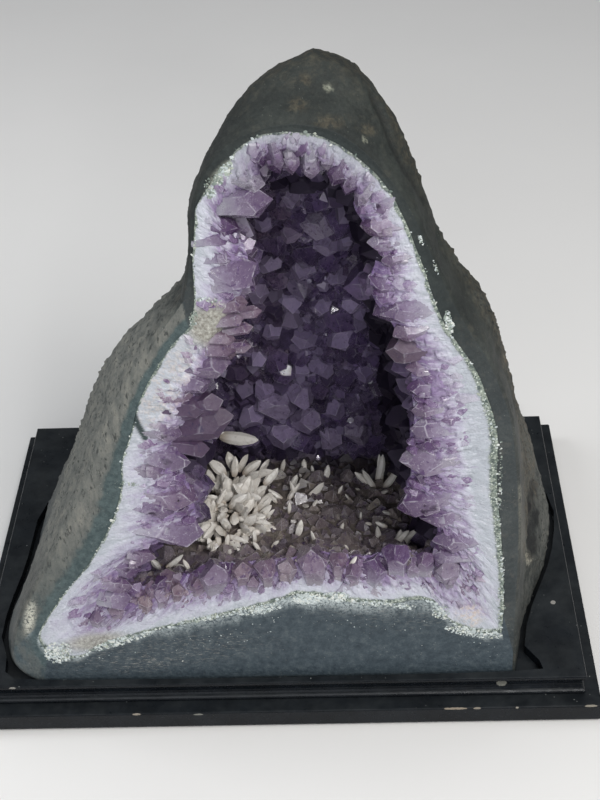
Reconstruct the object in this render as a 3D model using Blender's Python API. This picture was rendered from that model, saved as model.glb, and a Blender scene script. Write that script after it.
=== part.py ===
# Amethyst cathedral geode standing in the recess of a two-tier lacquered plinth.
#
# Metres, +Z up, front (the sawn, open face of the geode) toward -Y.
# Origin: middle of the plinth's underside, on the surface it stands on.

import math
import random

import bmesh
import bpy
from mathutils import Matrix, Vector, noise

# ----------------------------------------------------------------- dimensions (mm)
MM = 0.001

BASE_W, BASE_D = 482.8, 332.4        # lower board
FOOT_T = 1.5                         # pad under the lower board
BASE_Z0, BASE_Z1 = 1.8, 17.4         # lower board, underside and top
BASE_EASE = 1.2                      # eased arris of the lower board
TOP_W, TOP_D = 460.0, 309.5          # upper board
TOP_Z0, TOP_Z1 = 17.7, 36.9          # upper board, underside and top
POCKET_Z = 28.9                      # floor of the recess routed in the upper board
FOOT_L, FOOT_W = 62.0, 26.0

GEODE_Z = 29.2                       # sawn underside of the geode
GAP = 0.32                           # clearance between touching pieces
FRONT_Y = -144.7                     # sawn front plane where it meets the board's top
FRONT_LEAN = math.tan(math.radians(4.0))
REAR_Y = 127.0                       # rearmost point of the rock

SAMPLES = (11, 4, 5, 6, 6, 6, 6, 8)  # facets along each of the eight stretches of a loop
ROCK_LUMP = 1.7                      # height of the lumps on the outer skin
POINT_H = 9.0                        # height of the amethyst points in the cavity
RIM_POINT_H = 4.5                    # height of the points on the sawn rim


# ----------------------------------------------------------------- design sections (mm)
# Outer skin of the rock at six depths. Each section runs from the left foot over the
# left flank, the waist and the dome and down the right flank to the right foot: (x, z).
SKIN_FRONT = [(-180, 29.2), (-197, 45), (-199, 68), (-185, 105), (-160, 150), (-141, 188),
              (-122, 227), (-105, 264), (-88, 298), (-68, 330), (-45, 363),
              (-39, 390), (-36, 420),
              (-24, 451), (-6, 470), (14, 478), (32, 480),
              (55, 474), (76, 457), (95, 432), (110, 400), (118, 378),
              (133, 344), (151, 311), (165, 272), (170, 246),
              (175, 197), (177, 143), (177, 95), (177, 55), (177, 29.2)]
SKIN_122 = [(-207, 29.2), (-206, 44), (-200.5, 67), (-185, 105.5), (-161.5, 151), (-144.5, 188),
            (-127, 229), (-111, 264), (-94, 299), (-72, 328), (-46, 358),
            (-39.5, 388), (-36, 420),
            (-25, 449), (-8, 471), (13, 484), (34, 489),
            (59, 484), (78, 467), (95, 443), (108.5, 406), (117, 381),
            (133.5, 350), (151, 319), (165.5, 274.5), (171.5, 245.5),
            (178, 197.5), (181, 145), (182, 97), (182.5, 56), (182.5, 29.2)]
SKIN_90 = [(-214, 29.2), (-211, 44), (-200, 66), (-184, 106), (-163, 152), (-148, 188),
           (-132, 227), (-118, 262), (-99, 298), (-76, 322), (-48, 348),
           (-39, 385), (-35, 420),
           (-21, 446), (-6, 471), (14, 490.5), (41, 503),
           (62, 496), (81, 475), (95, 452), (109, 412), (118, 383),
           (134, 353), (151, 325), (166, 276), (173, 245),
           (182, 198), (186, 146), (188, 98), (189, 56), (189, 29.2)]
SKIN_20 = [(-207, 29.2), (-203, 42), (-195, 60), (-179, 96), (-158, 140), (-147, 170),
           (-134, 205), (-119, 236), (-97, 260), (-72, 283), (-52, 301),
           (-42, 345), (-36, 382),
           (-24, 412), (-10, 438), (10, 460), (42, 476),
           (64, 468), (80, 447), (93, 423), (106, 388), (117, 345),
           (131, 322), (147, 303), (161, 274), (170, 240),
           (184, 178), (196, 138), (204, 100), (212, 60), (215, 29.2)]
SKIN_REAR_50 = [(-201, 29.2), (-198, 42), (-191, 60), (-176, 92), (-156, 130), (-142, 158),
                (-127, 188), (-110, 214), (-90, 238), (-70, 260), (-54, 280),
                (-45, 305), (-38, 330),
                (-27, 352), (-12, 372), (8, 388), (34, 396),
                (58, 390), (76, 375), (90, 353), (103, 325), (115, 300),
                (128, 278), (142, 255), (156, 228), (166, 203),
                (182, 160), (194, 125), (204, 92), (213, 56), (219, 29.2)]
SKIN_REAR_100 = [(-158, 29.2), (-156, 42), (-150, 58), (-140, 80), (-126, 104), (-114, 124),
                 (-100, 145), (-86, 164), (-71, 182), (-56, 198), (-43, 212),
                 (-34, 226), (-26, 240),
                 (-15, 253), (0, 264), (16, 272), (34, 275),
                 (52, 271), (68, 261), (82, 247), (95, 229), (106, 212),
                 (117, 196), (128, 178), (139, 158), (147, 141),
                 (156, 114), (163, 92), (168, 70), (171, 48), (172, 29.2)]
SKIN_STRETCHES = [(0, 10), (10, 12), (12, 16), (16, 21), (21, 25), (25, 30)]

# Where rock ends and quartz begins, on the sawn front plane, as eight stretches.
SEAM = [
    [(-173, 63), (-176, 81), (-156, 114), (-134, 143), (-117, 171), (-106, 194), (-99, 218),
     (-97, 237), (-88, 260), (-81, 283), (-69, 307), (-55, 328), (-41, 343)],
    [(-41, 343), (-37, 361), (-36, 387), (-34, 403), (-31, 426)],
    [(-31, 426), (-25, 436), (-14, 450), (-4, 463), (6, 470), (14, 473), (27, 474)],
    [(27, 474), (42, 472), (53, 467), (62, 461), (72, 452), (81, 442), (88, 431), (93, 420),
     (98, 408), (103, 393), (108, 379)],
    [(108, 379), (112, 364), (117, 349), (123, 335), (130, 324), (142, 303), (149, 284),
     (155, 264), (158, 246)],
    [(158, 246), (158, 223), (159, 199), (162, 173), (164, 148), (166, 121), (167, 95), (166, 72)],
    [(166, 72), (147, 74), (129, 85), (118, 103), (102, 107), (87, 104), (61, 106), (41, 111),
     (17, 115)],
    [(17, 115), (-4, 106), (-33, 97), (-62, 89), (-91, 82), (-114, 75), (-135, 66), (-147, 57),
     (-160, 56), (-173, 63)],
]

# Mouth of the cavity: the tips of the rim's amethyst points.
MOUTH = [
    [(-108, 119), (-98, 142), (-83, 166), (-63, 172), (-52, 178), (-52, 202), (-57, 219),
     (-54, 236), (-58, 250), (-47, 271), (-41, 293), (-28, 306), (-28, 325)],
    [(-28, 325), (-19, 340), (-12, 354), (-3, 372), (-2, 390), (-8, 405)],
    [(-8, 405), (-17, 418), (-10, 428), (3, 432), (9, 440), (10, 452), (25, 459)],
    [(25, 459), (37, 454), (46, 449), (55, 440), (63, 431), (66, 418), (74, 405), (79, 393),
     (77, 380)],
    [(77, 380), (74, 370), (76, 356), (86, 339), (96, 321), (100, 298), (101, 277), (102, 262),
     (98, 243)],
    [(98, 243), (99, 228), (100, 214), (97, 200), (110, 186), (118, 176), (119, 158)],
    [(119, 158), (112, 143), (98, 148), (88, 152), (75, 145), (62, 144), (45, 147), (30, 149),
     (17, 145)],
    [(17, 145), (-2, 142), (-19, 141), (-42, 140), (-50, 135), (-66, 130), (-81, 125), (-96, 120),
     (-108, 119)],
]

# The same seam deep inside the rock, as eight stretches.
SEAM_DEEP = [
    [(-150, 74), (-150, 95), (-140, 120), (-125, 150), (-112, 178), (-100, 205), (-88, 232),
     (-74, 256), (-58, 278), (-45, 298)],
    [(-45, 298), (-40, 322), (-36, 350)],
    [(-36, 350), (-27, 385), (-12, 412), (8, 430), (28, 436)],
    [(28, 436), (52, 432), (70, 418), (82, 398), (92, 372), (98, 345)],
    [(98, 345), (108, 320), (120, 295), (132, 265), (138, 240)],
    [(138, 240), (144, 200), (148, 150), (150, 110), (148, 74)],
    [(148, 74), (80, 72), (15, 72)],
    [(15, 72), (-70, 72), (-150, 74)],
]
# Rings between the two: depth behind the sawn front, share of the way to the deep loop.
SEAM_NEAR = ((0.0, 0.0), (20.0, 0.3), (55.0, 0.72), (105.0, 1.0))
# Rings that close it behind the cavity: depth, width factor, height factor, floor height.
SEAM_FAR = ((150.0, 0.93, 0.87, 74.0), (185.0, 0.76, 0.66, 82.0), (205.0, 0.44, 0.38, 108.0))
SEAM_END = (214.0, 15.0, 160.0)      # depth, x, z

# Rear wall of the cavity, where the walls, floor and roof run into it, as eight stretches.
REAR_WALL = [
    [(-70, 110), (-66, 135), (-60, 160), (-54, 190), (-50, 220), (-44, 250), (-38, 280), (-31, 305)],
    [(-31, 305), (-26, 325), (-20, 345)],
    [(-20, 345), (-10, 362), (4, 375), (24, 382)],
    [(24, 382), (42, 377), (56, 362), (64, 345), (69, 328)],
    [(69, 328), (76, 300), (82, 270), (86, 243)],
    [(86, 243), (89, 205), (90, 160), (88, 110)],
    [(88, 110), (60, 108), (17, 108)],
    [(17, 108), (-25, 108), (-70, 110)],
]
REAR_AXIS = (12.0, 235.0)

# Cavity lofted from its mouth to its rear wall: fraction of the depth at each ring.
HOLLOW_SHARES = (0.10, 0.24, 0.42, 0.62, 0.82, 1.0)
FLOOR_Z = 109.0
HOLLOW_REAR_Y = 18.0                 # rear wall where it meets the floor
HOLLOW_REAR_LEAN = -0.136            # rear wall leans forward toward the roof

RECESS_GAP = 4.5                     # the routed recess follows the geode's foot this far out
RECESS_FRONT_GAP = 2.6

# Moulding of the upper board's edge, from top to bottom: (set-back, z).
MOULDING = [(1.1, 36.9), (0.4, 36.65), (0.0, 36.0), (0.0, 34.4), (0.9, 33.6), (2.1, 31.6),
            (2.9, 29.2), (3.2, 26.8), (2.9, 24.6), (2.0, 23.2), (2.6, 22.6), (1.3, 22.0),
            (0.35, 21.0), (0.0, 19.8), (0.35, 18.5), (1.2, 17.7)]

# Calcite blades: where each one's foot stands (x, y, z), heading, rise, length, width (mm, deg).
LEDGE_BLADES = [(-71, -14, 152, 62, 30, 32, 5.2), (-41, 3, 146, -14, 4, 27, 8.4)]
BACK_SPRIG = [(8, -38, 112, 40, 42, 18, 6.0), (15, -36, 113, 120, 58, 16, 5.2),
              (24, -35, 112, 28, 36, 19, 6.4), (19, -41, 112, -60, 30, 14, 5.0)]
RIGHT_SPRAY = [(78, -20, 112, 60, 64, 26, 6.4), (83, -25, 112, 20, 54, 23, 6.0),
               (77, -27, 112, 150, 56, 20, 5.4), (82, -18, 112, 100, 70, 24, 5.6),
               (80, -31, 112, -60, 46, 18, 5.2)]
FRONT_TRIO = [(86, -101, 118, 30, 38, 20, 6.6), (91, -103, 118, 75, 46, 17, 6.0),
              (95, -97, 118, 20, 50, 18, 5.6)]
RIM_BLADE = [(-86, -108, 113, 250, 62, 20, 6.4), (-81, -106, 112, 20, 30, 15, 4.6)]
ROSETTE_AXIS = (-35.0, -56.0)
ROSETTE_RADII = (31.0, 42.0)
ROSETTE_BLADES = 30


# ----------------------------------------------------------------- helpers
def spline(points, count, closed=False):
    """Evenly spaced points on a smooth curve through the given ones."""
    pts = [Vector(p) for p in points]
    n = len(pts)
    fine = []
    last = n if closed else n - 1
    for i in range(last):
        if closed:
            a, b, c, d = pts[i - 1], pts[i], pts[(i + 1) % n], pts[(i + 2) % n]
        else:
            a, b, c, d = pts[max(i - 1, 0)], pts[i], pts[i + 1], pts[min(i + 2, n - 1)]
        for k in range(12):
            t = k / 12.0
            fine.append(0.5 * ((2 * b) + (c - a) * t + (2 * a - 5 * b + 4 * c - d) * t * t
                               + (3 * b - a - 3 * c + d) * t * t * t))
    fine.append(pts[0] if closed else pts[-1])
    run = [0.0]
    for p, r in zip(fine, fine[1:]):
        run.append(run[-1] + (r - p).length)
    out, j = [], 0
    for k in range(count):
        want = run[-1] * k / count
        while run[j + 1] < want:
            j += 1
        f = (want - run[j]) / max(run[j + 1] - run[j], 1e-9)
        out.append(fine[j].lerp(fine[j + 1], f))
    return out


def loop_of(stretches):
    """One closed loop of (x, z) points from its eight stretches."""
    out = []
    for part, count in zip(stretches, SAMPLES):
        out.extend(spline([(x, z, 0.0) for x, z in part], count))
    return [(p.x, p.y) for p in out]


def skin_loop(section):
    """One closed loop of the outer skin: six stretches of rock and the flat foot."""
    parts = [section[a:b + 1] for a, b in SKIN_STRETCHES]
    left, right = section[0], section[-1]
    parts.append([right, (right[0] * 0.5, GEODE_Z), (0.0, GEODE_Z)])
    parts.append([(0.0, GEODE_Z), (left[0] * 0.5, GEODE_Z), left])
    return loop_of(parts)


def front_y(z):
    return FRONT_Y + (z - TOP_Z1) * FRONT_LEAN


def mix_loops(loops, depths, at):
    """Smooth interpolation between section loops at a given depth."""
    n = len(depths)
    k = 0
    while k < n - 2 and at > depths[k + 1]:
        k += 1
    t = (at - depths[k]) / (depths[k + 1] - depths[k])
    a, b, c, d = (loops[max(k - 1, 0)], loops[k], loops[k + 1], loops[min(k + 2, n - 1)])
    da = depths[max(k - 1, 0)]
    dd = depths[min(k + 2, n - 1)]
    h = depths[k + 1] - depths[k]
    out = []
    for pa, pb, pc, pd in zip(a, b, c, d):
        point = []
        for i in (0, 1):
            m0 = (pc[i] - pa[i]) / max(depths[k + 1] - da, 1e-9) * h
            m1 = (pd[i] - pb[i]) / max(dd - depths[k], 1e-9) * h
            point.append((2 * t ** 3 - 3 * t * t + 1) * pb[i] + (t ** 3 - 2 * t * t + t) * m0
                         + (-2 * t ** 3 + 3 * t * t) * pc[i] + (t ** 3 - t * t) * m1)
        out.append(tuple(point))
    return out


def make_object(name, bm, colour, rough, metal=0.0):
    mesh = bpy.data.meshes.new(name)
    bm.to_mesh(mesh)
    bm.free()
    obj = bpy.data.objects.new(name, mesh)
    bpy.context.scene.collection.objects.link(obj)
    mat = bpy.data.materials.new(name + "_material")
    mat.use_nodes = True
    shader = mat.node_tree.nodes["Principled BSDF"]
    shader.inputs["Base Color"].default_value = (*colour, 1.0)
    shader.inputs["Roughness"].default_value = rough
    shader.inputs["Metallic"].default_value = metal
    mesh.materials.append(mat)
    return obj


def ring_verts(bm, loop, y_of):
    return [bm.verts.new((x * MM, y_of(x, z) * MM, z * MM)) for x, z in loop]


def bridge(bm, a, b):
    n = len(a)
    return [bm.faces.new((a[i], a[(i + 1) % n], b[(i + 1) % n], b[i])) for i in range(n)]


def fan(bm, ring, tip):
    n = len(ring)
    return [bm.faces.new((ring[i], ring[(i + 1) % n], tip)) for i in range(n)]


# ----------------------------------------------------------------- geode
def seam_surface(bm, inset):
    """The pocket that the quartz fills in the rock, as rings and an end point."""
    near, deep = loop_of(SEAM), loop_of(SEAM_DEEP)
    end_depth, cx, cz = SEAM_END
    floor_z = SEAM_DEEP[6][-1][1]
    rings = []
    for depth, share in SEAM_NEAR:
        pts = [(x + (dx - x) * share, z + (dz - z) * share)
               for (x, z), (dx, dz) in zip(near, deep)]
        rings.append(ring_verts(bm, pts, lambda x, z, d=depth: front_y(z) + d))
    for depth, fw, fh, floor in SEAM_FAR:
        pts = [(cx + (x - cx) * fw, floor + (z - floor_z) * fh) for x, z in deep]
        rings.append(ring_verts(bm, pts, lambda x, z, d=depth: front_y(z) + d))
    tip = bm.verts.new((cx * MM, (front_y(cz) + end_depth) * MM, cz * MM))
    faces = []
    for a, b in zip(rings, rings[1:]):
        faces += bridge(bm, a, b)
    faces += fan(bm, rings[-1], tip)
    if inset:
        bmesh.ops.recalc_face_normals(bm, faces=faces)
        bm.normal_update()
        middle = Vector((cx * MM, 0.0, cz * MM))
        mesh_verts = [v for ring in rings for v in ring] + [tip]
        moves = {}
        for v in mesh_verts:
            inward = -v.normal if v.normal.dot(v.co - middle) > 0 else v.normal
            if v in rings[0]:
                inward = Vector((inward.x, 0.0, inward.z)).normalized()
            moves[v] = inward * inset * MM
        for v, move in moves.items():
            v.co += move
    return rings, faces


def skin_sections():
    loops = [skin_loop(s) for s in (SKIN_FRONT, SKIN_122, SKIN_90, SKIN_20, SKIN_REAR_50,
                                    SKIN_REAR_100)]
    loops.append([(8.0 + (x - 8.0) * 0.55, GEODE_Z + (z - GEODE_Z) * 0.55)
                  for x, z in loops[-1]])
    return loops, [FRONT_Y, -122.0, -90.0, -20.0, 50.0, 100.0, 120.0]


def build_rind():
    loops, depths = skin_sections()
    bm = bmesh.new()
    rings = []
    for y in (FRONT_Y, -136.0, -122.0, -106.0, -86.0, -62.0, -38.0, -12.0, 14.0, 40.0, 66.0,
              86.0, 102.0, 113.0, 120.0):
        loop = mix_loops(loops, depths, y)
        fade = max(0.0, 1.0 - (y - FRONT_Y) / 110.0)
        ring = []
        for x, z in loop:
            yy = y + (z - TOP_Z1) * FRONT_LEAN * fade
            p = Vector((x, yy, z))
            if y > FRONT_Y + 1.0 and z > GEODE_Z + 0.5:
                n = noise.noise(p * 0.045 + Vector((3.1, 7.7, 1.3)))
                away = Vector((x - 10.0, 0.0, z - 120.0)).normalized()
                p += away * n * ROCK_LUMP
            ring.append(bm.verts.new(p * MM))
        rings.append(ring)
    faces = []
    for a, b in zip(rings, rings[1:]):
        faces += bridge(bm, a, b)
    tip = bm.verts.new((8.0 * MM, REAR_Y * MM, (GEODE_Z + 34.0) * MM))
    faces += fan(bm, rings[-1], tip)
    seam, _ = seam_surface(bm, 0.0)
    bridge(bm, rings[0], seam[0])
    bmesh.ops.recalc_face_normals(bm, faces=bm.faces[:])
    obj = make_object("basalt_rind", bm, (0.055, 0.062, 0.062), 0.8)
    obj.data.shade_smooth()
    obj.data.set_sharp_from_angle(angle=math.radians(40.0))
    return obj


def hollow_rings(bm):
    mouth, rear = loop_of(MOUTH), loop_of(REAR_WALL)
    rings = []
    for share in HOLLOW_SHARES:
        ring = []
        sink = min(1.0, share / 0.2)
        turn = share ** 1.4
        for (x, z), (rx, rz) in zip(mouth, rear):
            low = max(0.0, min(1.0, (185.0 - z) / 60.0))
            zz = z + (FLOOR_Z + (z - 130.0) * 0.2 - z) * low * sink
            xx = x + (rx - x) * turn
            zz = zz + (rz - zz) * turn
            y0 = front_y(zz) + 6.0
            y1 = HOLLOW_REAR_Y + (zz - FLOOR_Z) * HOLLOW_REAR_LEAN
            ring.append(bm.verts.new((xx * MM, (y0 + (y1 - y0) * share) * MM, zz * MM)))
        rings.append(ring)
    for k, back in ((0.68, 7.0), (0.34, 11.0)):
        ring = []
        for rx, rz in rear:
            x = REAR_AXIS[0] + (rx - REAR_AXIS[0]) * k
            z = REAR_AXIS[1] + (rz - REAR_AXIS[1]) * k
            y = HOLLOW_REAR_Y + (z - FLOOR_Z) * HOLLOW_REAR_LEAN + back
            ring.append(bm.verts.new((x * MM, y * MM, z * MM)))
        rings.append(ring)
    x, z = REAR_AXIS
    y = HOLLOW_REAR_Y + (z - FLOOR_Z) * HOLLOW_REAR_LEAN + 12.0
    return rings, bm.verts.new((x * MM, y * MM, z * MM))


def build_lining():
    bm = bmesh.new()
    seam, _ = seam_surface(bm, GAP)
    seam_loop = [v.co.copy() / MM for v in seam[0]]
    mouth = loop_of(MOUTH)
    rim = []
    for share, proud in ((0.34, 0.6), (0.68, 1.5), (1.0, -6.0)):
        ring = []
        for p, (mx, mz) in zip(seam_loop, mouth):
            x = p.x + (mx - p.x) * share
            z = p.z + (mz - p.z) * share
            ring.append(bm.verts.new((x * MM, (front_y(z) - proud) * MM, z * MM)))
        rim.append(ring)
    bridge(bm, seam[0], rim[0])
    rim_faces = bridge(bm, rim[0], rim[1]) + bridge(bm, rim[1], rim[2])
    hollow, tip = hollow_rings(bm)
    wall_faces = bridge(bm, rim[2], hollow[0])
    for a, b in zip(hollow[:-3], hollow[1:-2]):
        wall_faces += bridge(bm, a, b)
    for a, b, span in ((hollow[-3], hollow[-2], 2), (hollow[-2], hollow[-1], 4)):
        n = len(a)
        for i in range(0, n, span):
            run = [(i + k) % n for k in range(span + 1)]
            wall_faces.append(bm.faces.new([a[k] for k in run] + [b[k] for k in reversed(run)]))
    fan(bm, hollow[-1], tip)
    bmesh.ops.recalc_face_normals(bm, faces=bm.faces[:])
    bm.normal_update()
    rng = random.Random(11)
    for faces, height, step in ((rim_faces, RIM_POINT_H, 1), (wall_faces, POINT_H, 1)):
        for face in faces[::step]:
            size = math.sqrt(face.calc_area()) / MM
            lift = min(height * rng.uniform(0.55, 1.1), size * 0.55)
            centre = face.calc_center_median()
            tilt = Vector((rng.uniform(-1, 1), rng.uniform(-1, 1), rng.uniform(-1, 1)))
            up = face.normal + tilt * 0.18
            if centre.z < 0.128 and centre.y > -0.13:
                lift *= 0.5              # the floor's points are low
            if centre.x < -0.078 and centre.z < 0.135:
                lift *= 0.45             # and lower still in the pinched corner
            made = bmesh.ops.poke(bm, faces=[face])
            made["verts"][0].co = centre + up.normalized() * lift * MM
    return make_object("amethyst_lining", bm, (0.25, 0.13, 0.42), 0.18)


def blade_into(bm, foot, heading, rise, length, width):
    """One calcite blade: a long flattened crystal with a pointed end, foot first."""
    a, e = math.radians(heading), math.radians(rise)
    axis = Vector((math.cos(a) * math.cos(e), math.sin(a) * math.cos(e), math.sin(e)))
    side = Vector((-math.sin(a), math.cos(a), 0.0))
    flat = axis.cross(side)
    foot = Vector(foot)
    rings = []
    for share, wide in ((0.28, 0.42), (0.62, 0.50)):
        ring = []
        for k in range(6):
            t = k * math.pi / 3.0
            p = foot + axis * length * share + side * math.cos(t) * width * wide \
                + flat * math.sin(t) * width * wide * 0.62
            ring.append(bm.verts.new(p * MM))
        rings.append(ring)
    start = bm.verts.new(foot * MM)
    end = bm.verts.new((foot + axis * length) * MM)
    fan(bm, rings[0], start)
    bridge(bm, rings[0], rings[1])
    fan(bm, rings[1], end)


def guide(name, bm):
    """A shape used only to cut or to join; it is no part of the object."""
    mesh = bpy.data.meshes.new(name)
    bm.to_mesh(mesh)
    bm.free()
    obj = bpy.data.objects.new(name, mesh)
    bpy.context.scene.collection.objects.link(obj)
    obj.hide_render = True
    obj.display_type = 'WIRE'
    return obj


def settle(obj):
    """Replace the object's mesh with the largest body of its evaluated shape."""
    graph = bpy.context.evaluated_depsgraph_get()
    bm = bmesh.new()
    bm.from_object(obj, graph)
    bmesh.ops.triangulate(bm, faces=bm.faces[:])
    seen, bodies = set(), []
    for start in bm.verts:
        if start in seen:
            continue
        stack, body = [start], []
        seen.add(start)
        while stack:
            v = stack.pop()
            body.append(v)
            for e in v.link_edges:
                w = e.other_vert(v)
                if w not in seen:
                    seen.add(w)
                    stack.append(w)
        bodies.append(body)
    bodies.sort(key=len, reverse=True)
    for body in bodies[1:]:
        bmesh.ops.delete(bm, geom=body, context='VERTS')
    bmesh.ops.recalc_face_normals(bm, faces=bm.faces[:])
    obj.modifiers.clear()
    bm.to_mesh(obj.data)
    bm.free()


def calcite(name, blades, bed, pad=None, colour=(0.78, 0.74, 0.68)):
    """A group of calcite blades grown together, rooted on the bed with a hairline gap."""
    bm = bmesh.new()
    for x, y, z, heading, rise, length, width in blades:
        blade_into(bm, (x, y, z), heading, rise, length, width)
    bmesh.ops.recalc_face_normals(bm, faces=bm.faces[:])
    obj = make_object(name, bm, colour, 0.35)
    if pad:
        (px, py, pz), (rx, ry, rz) = pad
        core = bmesh.new()
        bmesh.ops.create_icosphere(core, subdivisions=2, radius=1.0)
        for v in core.verts:
            v.co = Vector((px + v.co.x * rx, py + v.co.y * ry, pz + v.co.z * rz)) * MM
        core_obj = guide(name + "_core", core)
        join = obj.modifiers.new("join", 'BOOLEAN')
        join.operation, join.solver, join.use_self = 'UNION', 'EXACT', True
        join.object = core_obj
    cut = obj.modifiers.new("bed", 'BOOLEAN')
    cut.operation, cut.solver = 'DIFFERENCE', 'EXACT'
    cut.object = bed
    bpy.context.view_layer.update()
    settle(obj)
    return obj


def rosette_blades():
    rng = random.Random(4)
    out = []
    golden = math.radians(137.508)
    for k in range(ROSETTE_BLADES):
        r = math.sqrt((k + 0.4) / ROSETTE_BLADES)
        a = k * golden
        x = ROSETTE_AXIS[0] + ROSETTE_RADII[0] * r * math.cos(a) * 0.86
        y = ROSETTE_AXIS[1] + ROSETTE_RADII[1] * r * math.sin(a) * 0.86
        rise = 78.0 - 52.0 * r + rng.uniform(-16, 16)
        heading = math.degrees(a) + rng.uniform(-45, 45)
        z = FLOOR_Z + 4.0 + 9.0 * (1.0 - r * r)
        out.append((x, y, z - 3.0, heading, rise, rng.uniform(18, 25), rng.uniform(5.4, 7.8)))
    return out


# ----------------------------------------------------------------- stand
def build_base_board():
    bm = bmesh.new()
    bmesh.ops.create_cube(bm, size=1.0)
    bmesh.ops.scale(bm, vec=(BASE_W * MM, BASE_D * MM, (BASE_Z1 - BASE_Z0) * MM), verts=bm.verts[:])
    obj = make_object("stand_base_board", bm, (0.012, 0.013, 0.015), 0.35)
    obj.location = (0.0, 0.0, (BASE_Z0 + BASE_Z1) * 0.5 * MM)
    ease = obj.modifiers.new("eased_edges", 'BEVEL')
    ease.width, ease.segments = BASE_EASE * MM, 2
    return obj


def build_top_board():
    bm = bmesh.new()
    rings = []
    for back, z in MOULDING:
        w, d = (TOP_W * 0.5 - back) * MM, (TOP_D * 0.5 - back) * MM
        rings.append([bm.verts.new((sx * w, sy * d, z * MM))
                      for sx, sy in ((-1, -1), (-1, 1), (1, 1), (1, -1))])
    for a, b in zip(rings, rings[1:]):
        bridge(bm, a, b)
    bm.faces.new(rings[0])
    bm.faces.new(rings[-1])
    bmesh.ops.recalc_face_normals(bm, faces=bm.faces[:])
    obj = make_object("stand_top_board", bm, (0.011, 0.012, 0.015), 0.35)

    pocket = bmesh.new()
    loops, depths = skin_sections()
    left, right = [], []
    corner = sum(SAMPLES[:6])            # where a section's right flank meets the foot
    for y in (FRONT_Y, -130.0, -112.0, -90.0, -62.0, -30.0, 0.0, 30.0, 60.0, 85.0, 102.0, 115.0):
        loop = mix_loops(loops, depths, y)
        left.append(Vector((loop[0][0], y, 0.0)))
        right.append(Vector((loop[corner][0], y, 0.0)))
    foot = right[::-1] + left + [Vector((-60.0, 125.0, 0.0)), Vector((8.0, REAR_Y, 0.0)),
                                 Vector((76.0, 125.0, 0.0))]
    swelled = []
    for i, p in enumerate(foot):
        along = (foot[(i + 1) % len(foot)] - foot[i - 1]).normalized()
        out = Vector((along.y, -along.x, 0.0))
        if out.dot(p) < 0.0:
            out = -out
        front = p.y < FRONT_Y + 1.0
        swelled.append(p + (Vector((math.copysign(2.0, p.x), -RECESS_FRONT_GAP, 0.0))
                            if front else out * RECESS_GAP))
    outline = spline(swelled, 60, closed=True)
    low = [pocket.verts.new((p.x * MM, p.y * MM, POCKET_Z * MM)) for p in outline]
    high = [pocket.verts.new((p.x * MM, p.y * MM, (TOP_Z1 + 8.0) * MM)) for p in outline]
    bridge(pocket, low, high)
    pocket.faces.new(low)
    pocket.faces.new(high)
    bmesh.ops.recalc_face_normals(pocket, faces=pocket.faces[:])
    cutter = guide("recess_cutter", pocket)
    cut = obj.modifiers.new("recess", 'BOOLEAN')
    cut.operation, cut.solver, cut.object = 'DIFFERENCE', 'EXACT', cutter
    return obj


def build_feet(parent):
    shared = None
    spots = {"front_left": (-199.0, -150.5), "front_right": (199.0, -150.5),
             "rear_left": (-199.0, 150.5), "rear_right": (199.0, 150.5)}
    for corner, (x, y) in spots.items():
        name = "stand_foot_" + corner
        if shared is None:
            bm = bmesh.new()
            bmesh.ops.create_cube(bm, size=1.0)
            bmesh.ops.scale(bm, vec=(FOOT_L * MM, FOOT_W * MM, FOOT_T * MM), verts=bm.verts[:])
            bmesh.ops.bevel(bm, geom=[e for e in bm.edges
                                      if abs(e.verts[0].co.z - e.verts[1].co.z) > 0.001],
                            offset=0.002, segments=2, affect='EDGES')
            obj = make_object(name, bm, (0.02, 0.02, 0.022), 0.6)
            shared = obj.data
        else:
            obj = bpy.data.objects.new(name, shared)
            bpy.context.scene.collection.objects.link(obj)
        obj.parent = parent
        obj.location = (x * MM, y * MM, FOOT_T * 0.5 * MM)


# ----------------------------------------------------------------- assembly
for old in list(bpy.data.objects):
    bpy.data.objects.remove(old, do_unlink=True)

stand = bpy.data.objects.new("stand", None)
bpy.context.scene.collection.objects.link(stand)
build_base_board().parent = stand
build_top_board().parent = stand
build_feet(stand)

build_rind()
lining = build_lining()

bed_bm = bmesh.new()
bed_bm.from_mesh(lining.data)
bed_bm.normal_update()
for bed_move in [(v, v.normal.copy()) for v in bed_bm.verts]:
    bed_move[0].co += bed_move[1] * GAP * MM
bed_guide = guide("calcite_bed", bed_bm)

calcite("calcite_rosette", rosette_blades(), bed_guide,
        pad=((ROSETTE_AXIS[0], ROSETTE_AXIS[1], FLOOR_Z + 4.0),
             (ROSETTE_RADII[0] * 0.92, ROSETTE_RADII[1] * 0.92, 12.0)))
calcite("calcite_ledge_blades", LEDGE_BLADES, bed_guide)
calcite("calcite_back_sprig", BACK_SPRIG, bed_guide,
        pad=((16.0, -37.0, FLOOR_Z + 4.5), (12.0, 8.0, 6.5)), colour=(0.62, 0.58, 0.54))
calcite("calcite_right_spray", RIGHT_SPRAY, bed_guide,
        pad=((80.0, -24.0, FLOOR_Z + 5.0), (9.0, 10.0, 8.0)), colour=(0.66, 0.68, 0.72))
calcite("calcite_front_trio", FRONT_TRIO, bed_guide,
        pad=((91.0, -100.0, FLOOR_Z + 9.0), (10.0, 7.0, 7.5)))
calcite("calcite_rim_blade", RIM_BLADE, bed_guide,
        pad=((-84.0, -107.0, FLOOR_Z + 4.0), (6.0, 5.0, 6.0)))
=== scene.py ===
# Looks of an amethyst cathedral geode on a two-tier lacquered plinth.
#
# The loops and sections below repeat the design stations of the model in millimetres, in its
# own frame: +Z up, the sawn open face toward -Y, origin under the middle of the plinth.

import itertools
import math

import bpy
import numpy as np
from mathutils import Matrix, Vector
from mathutils.bvhtree import BVHTree


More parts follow.
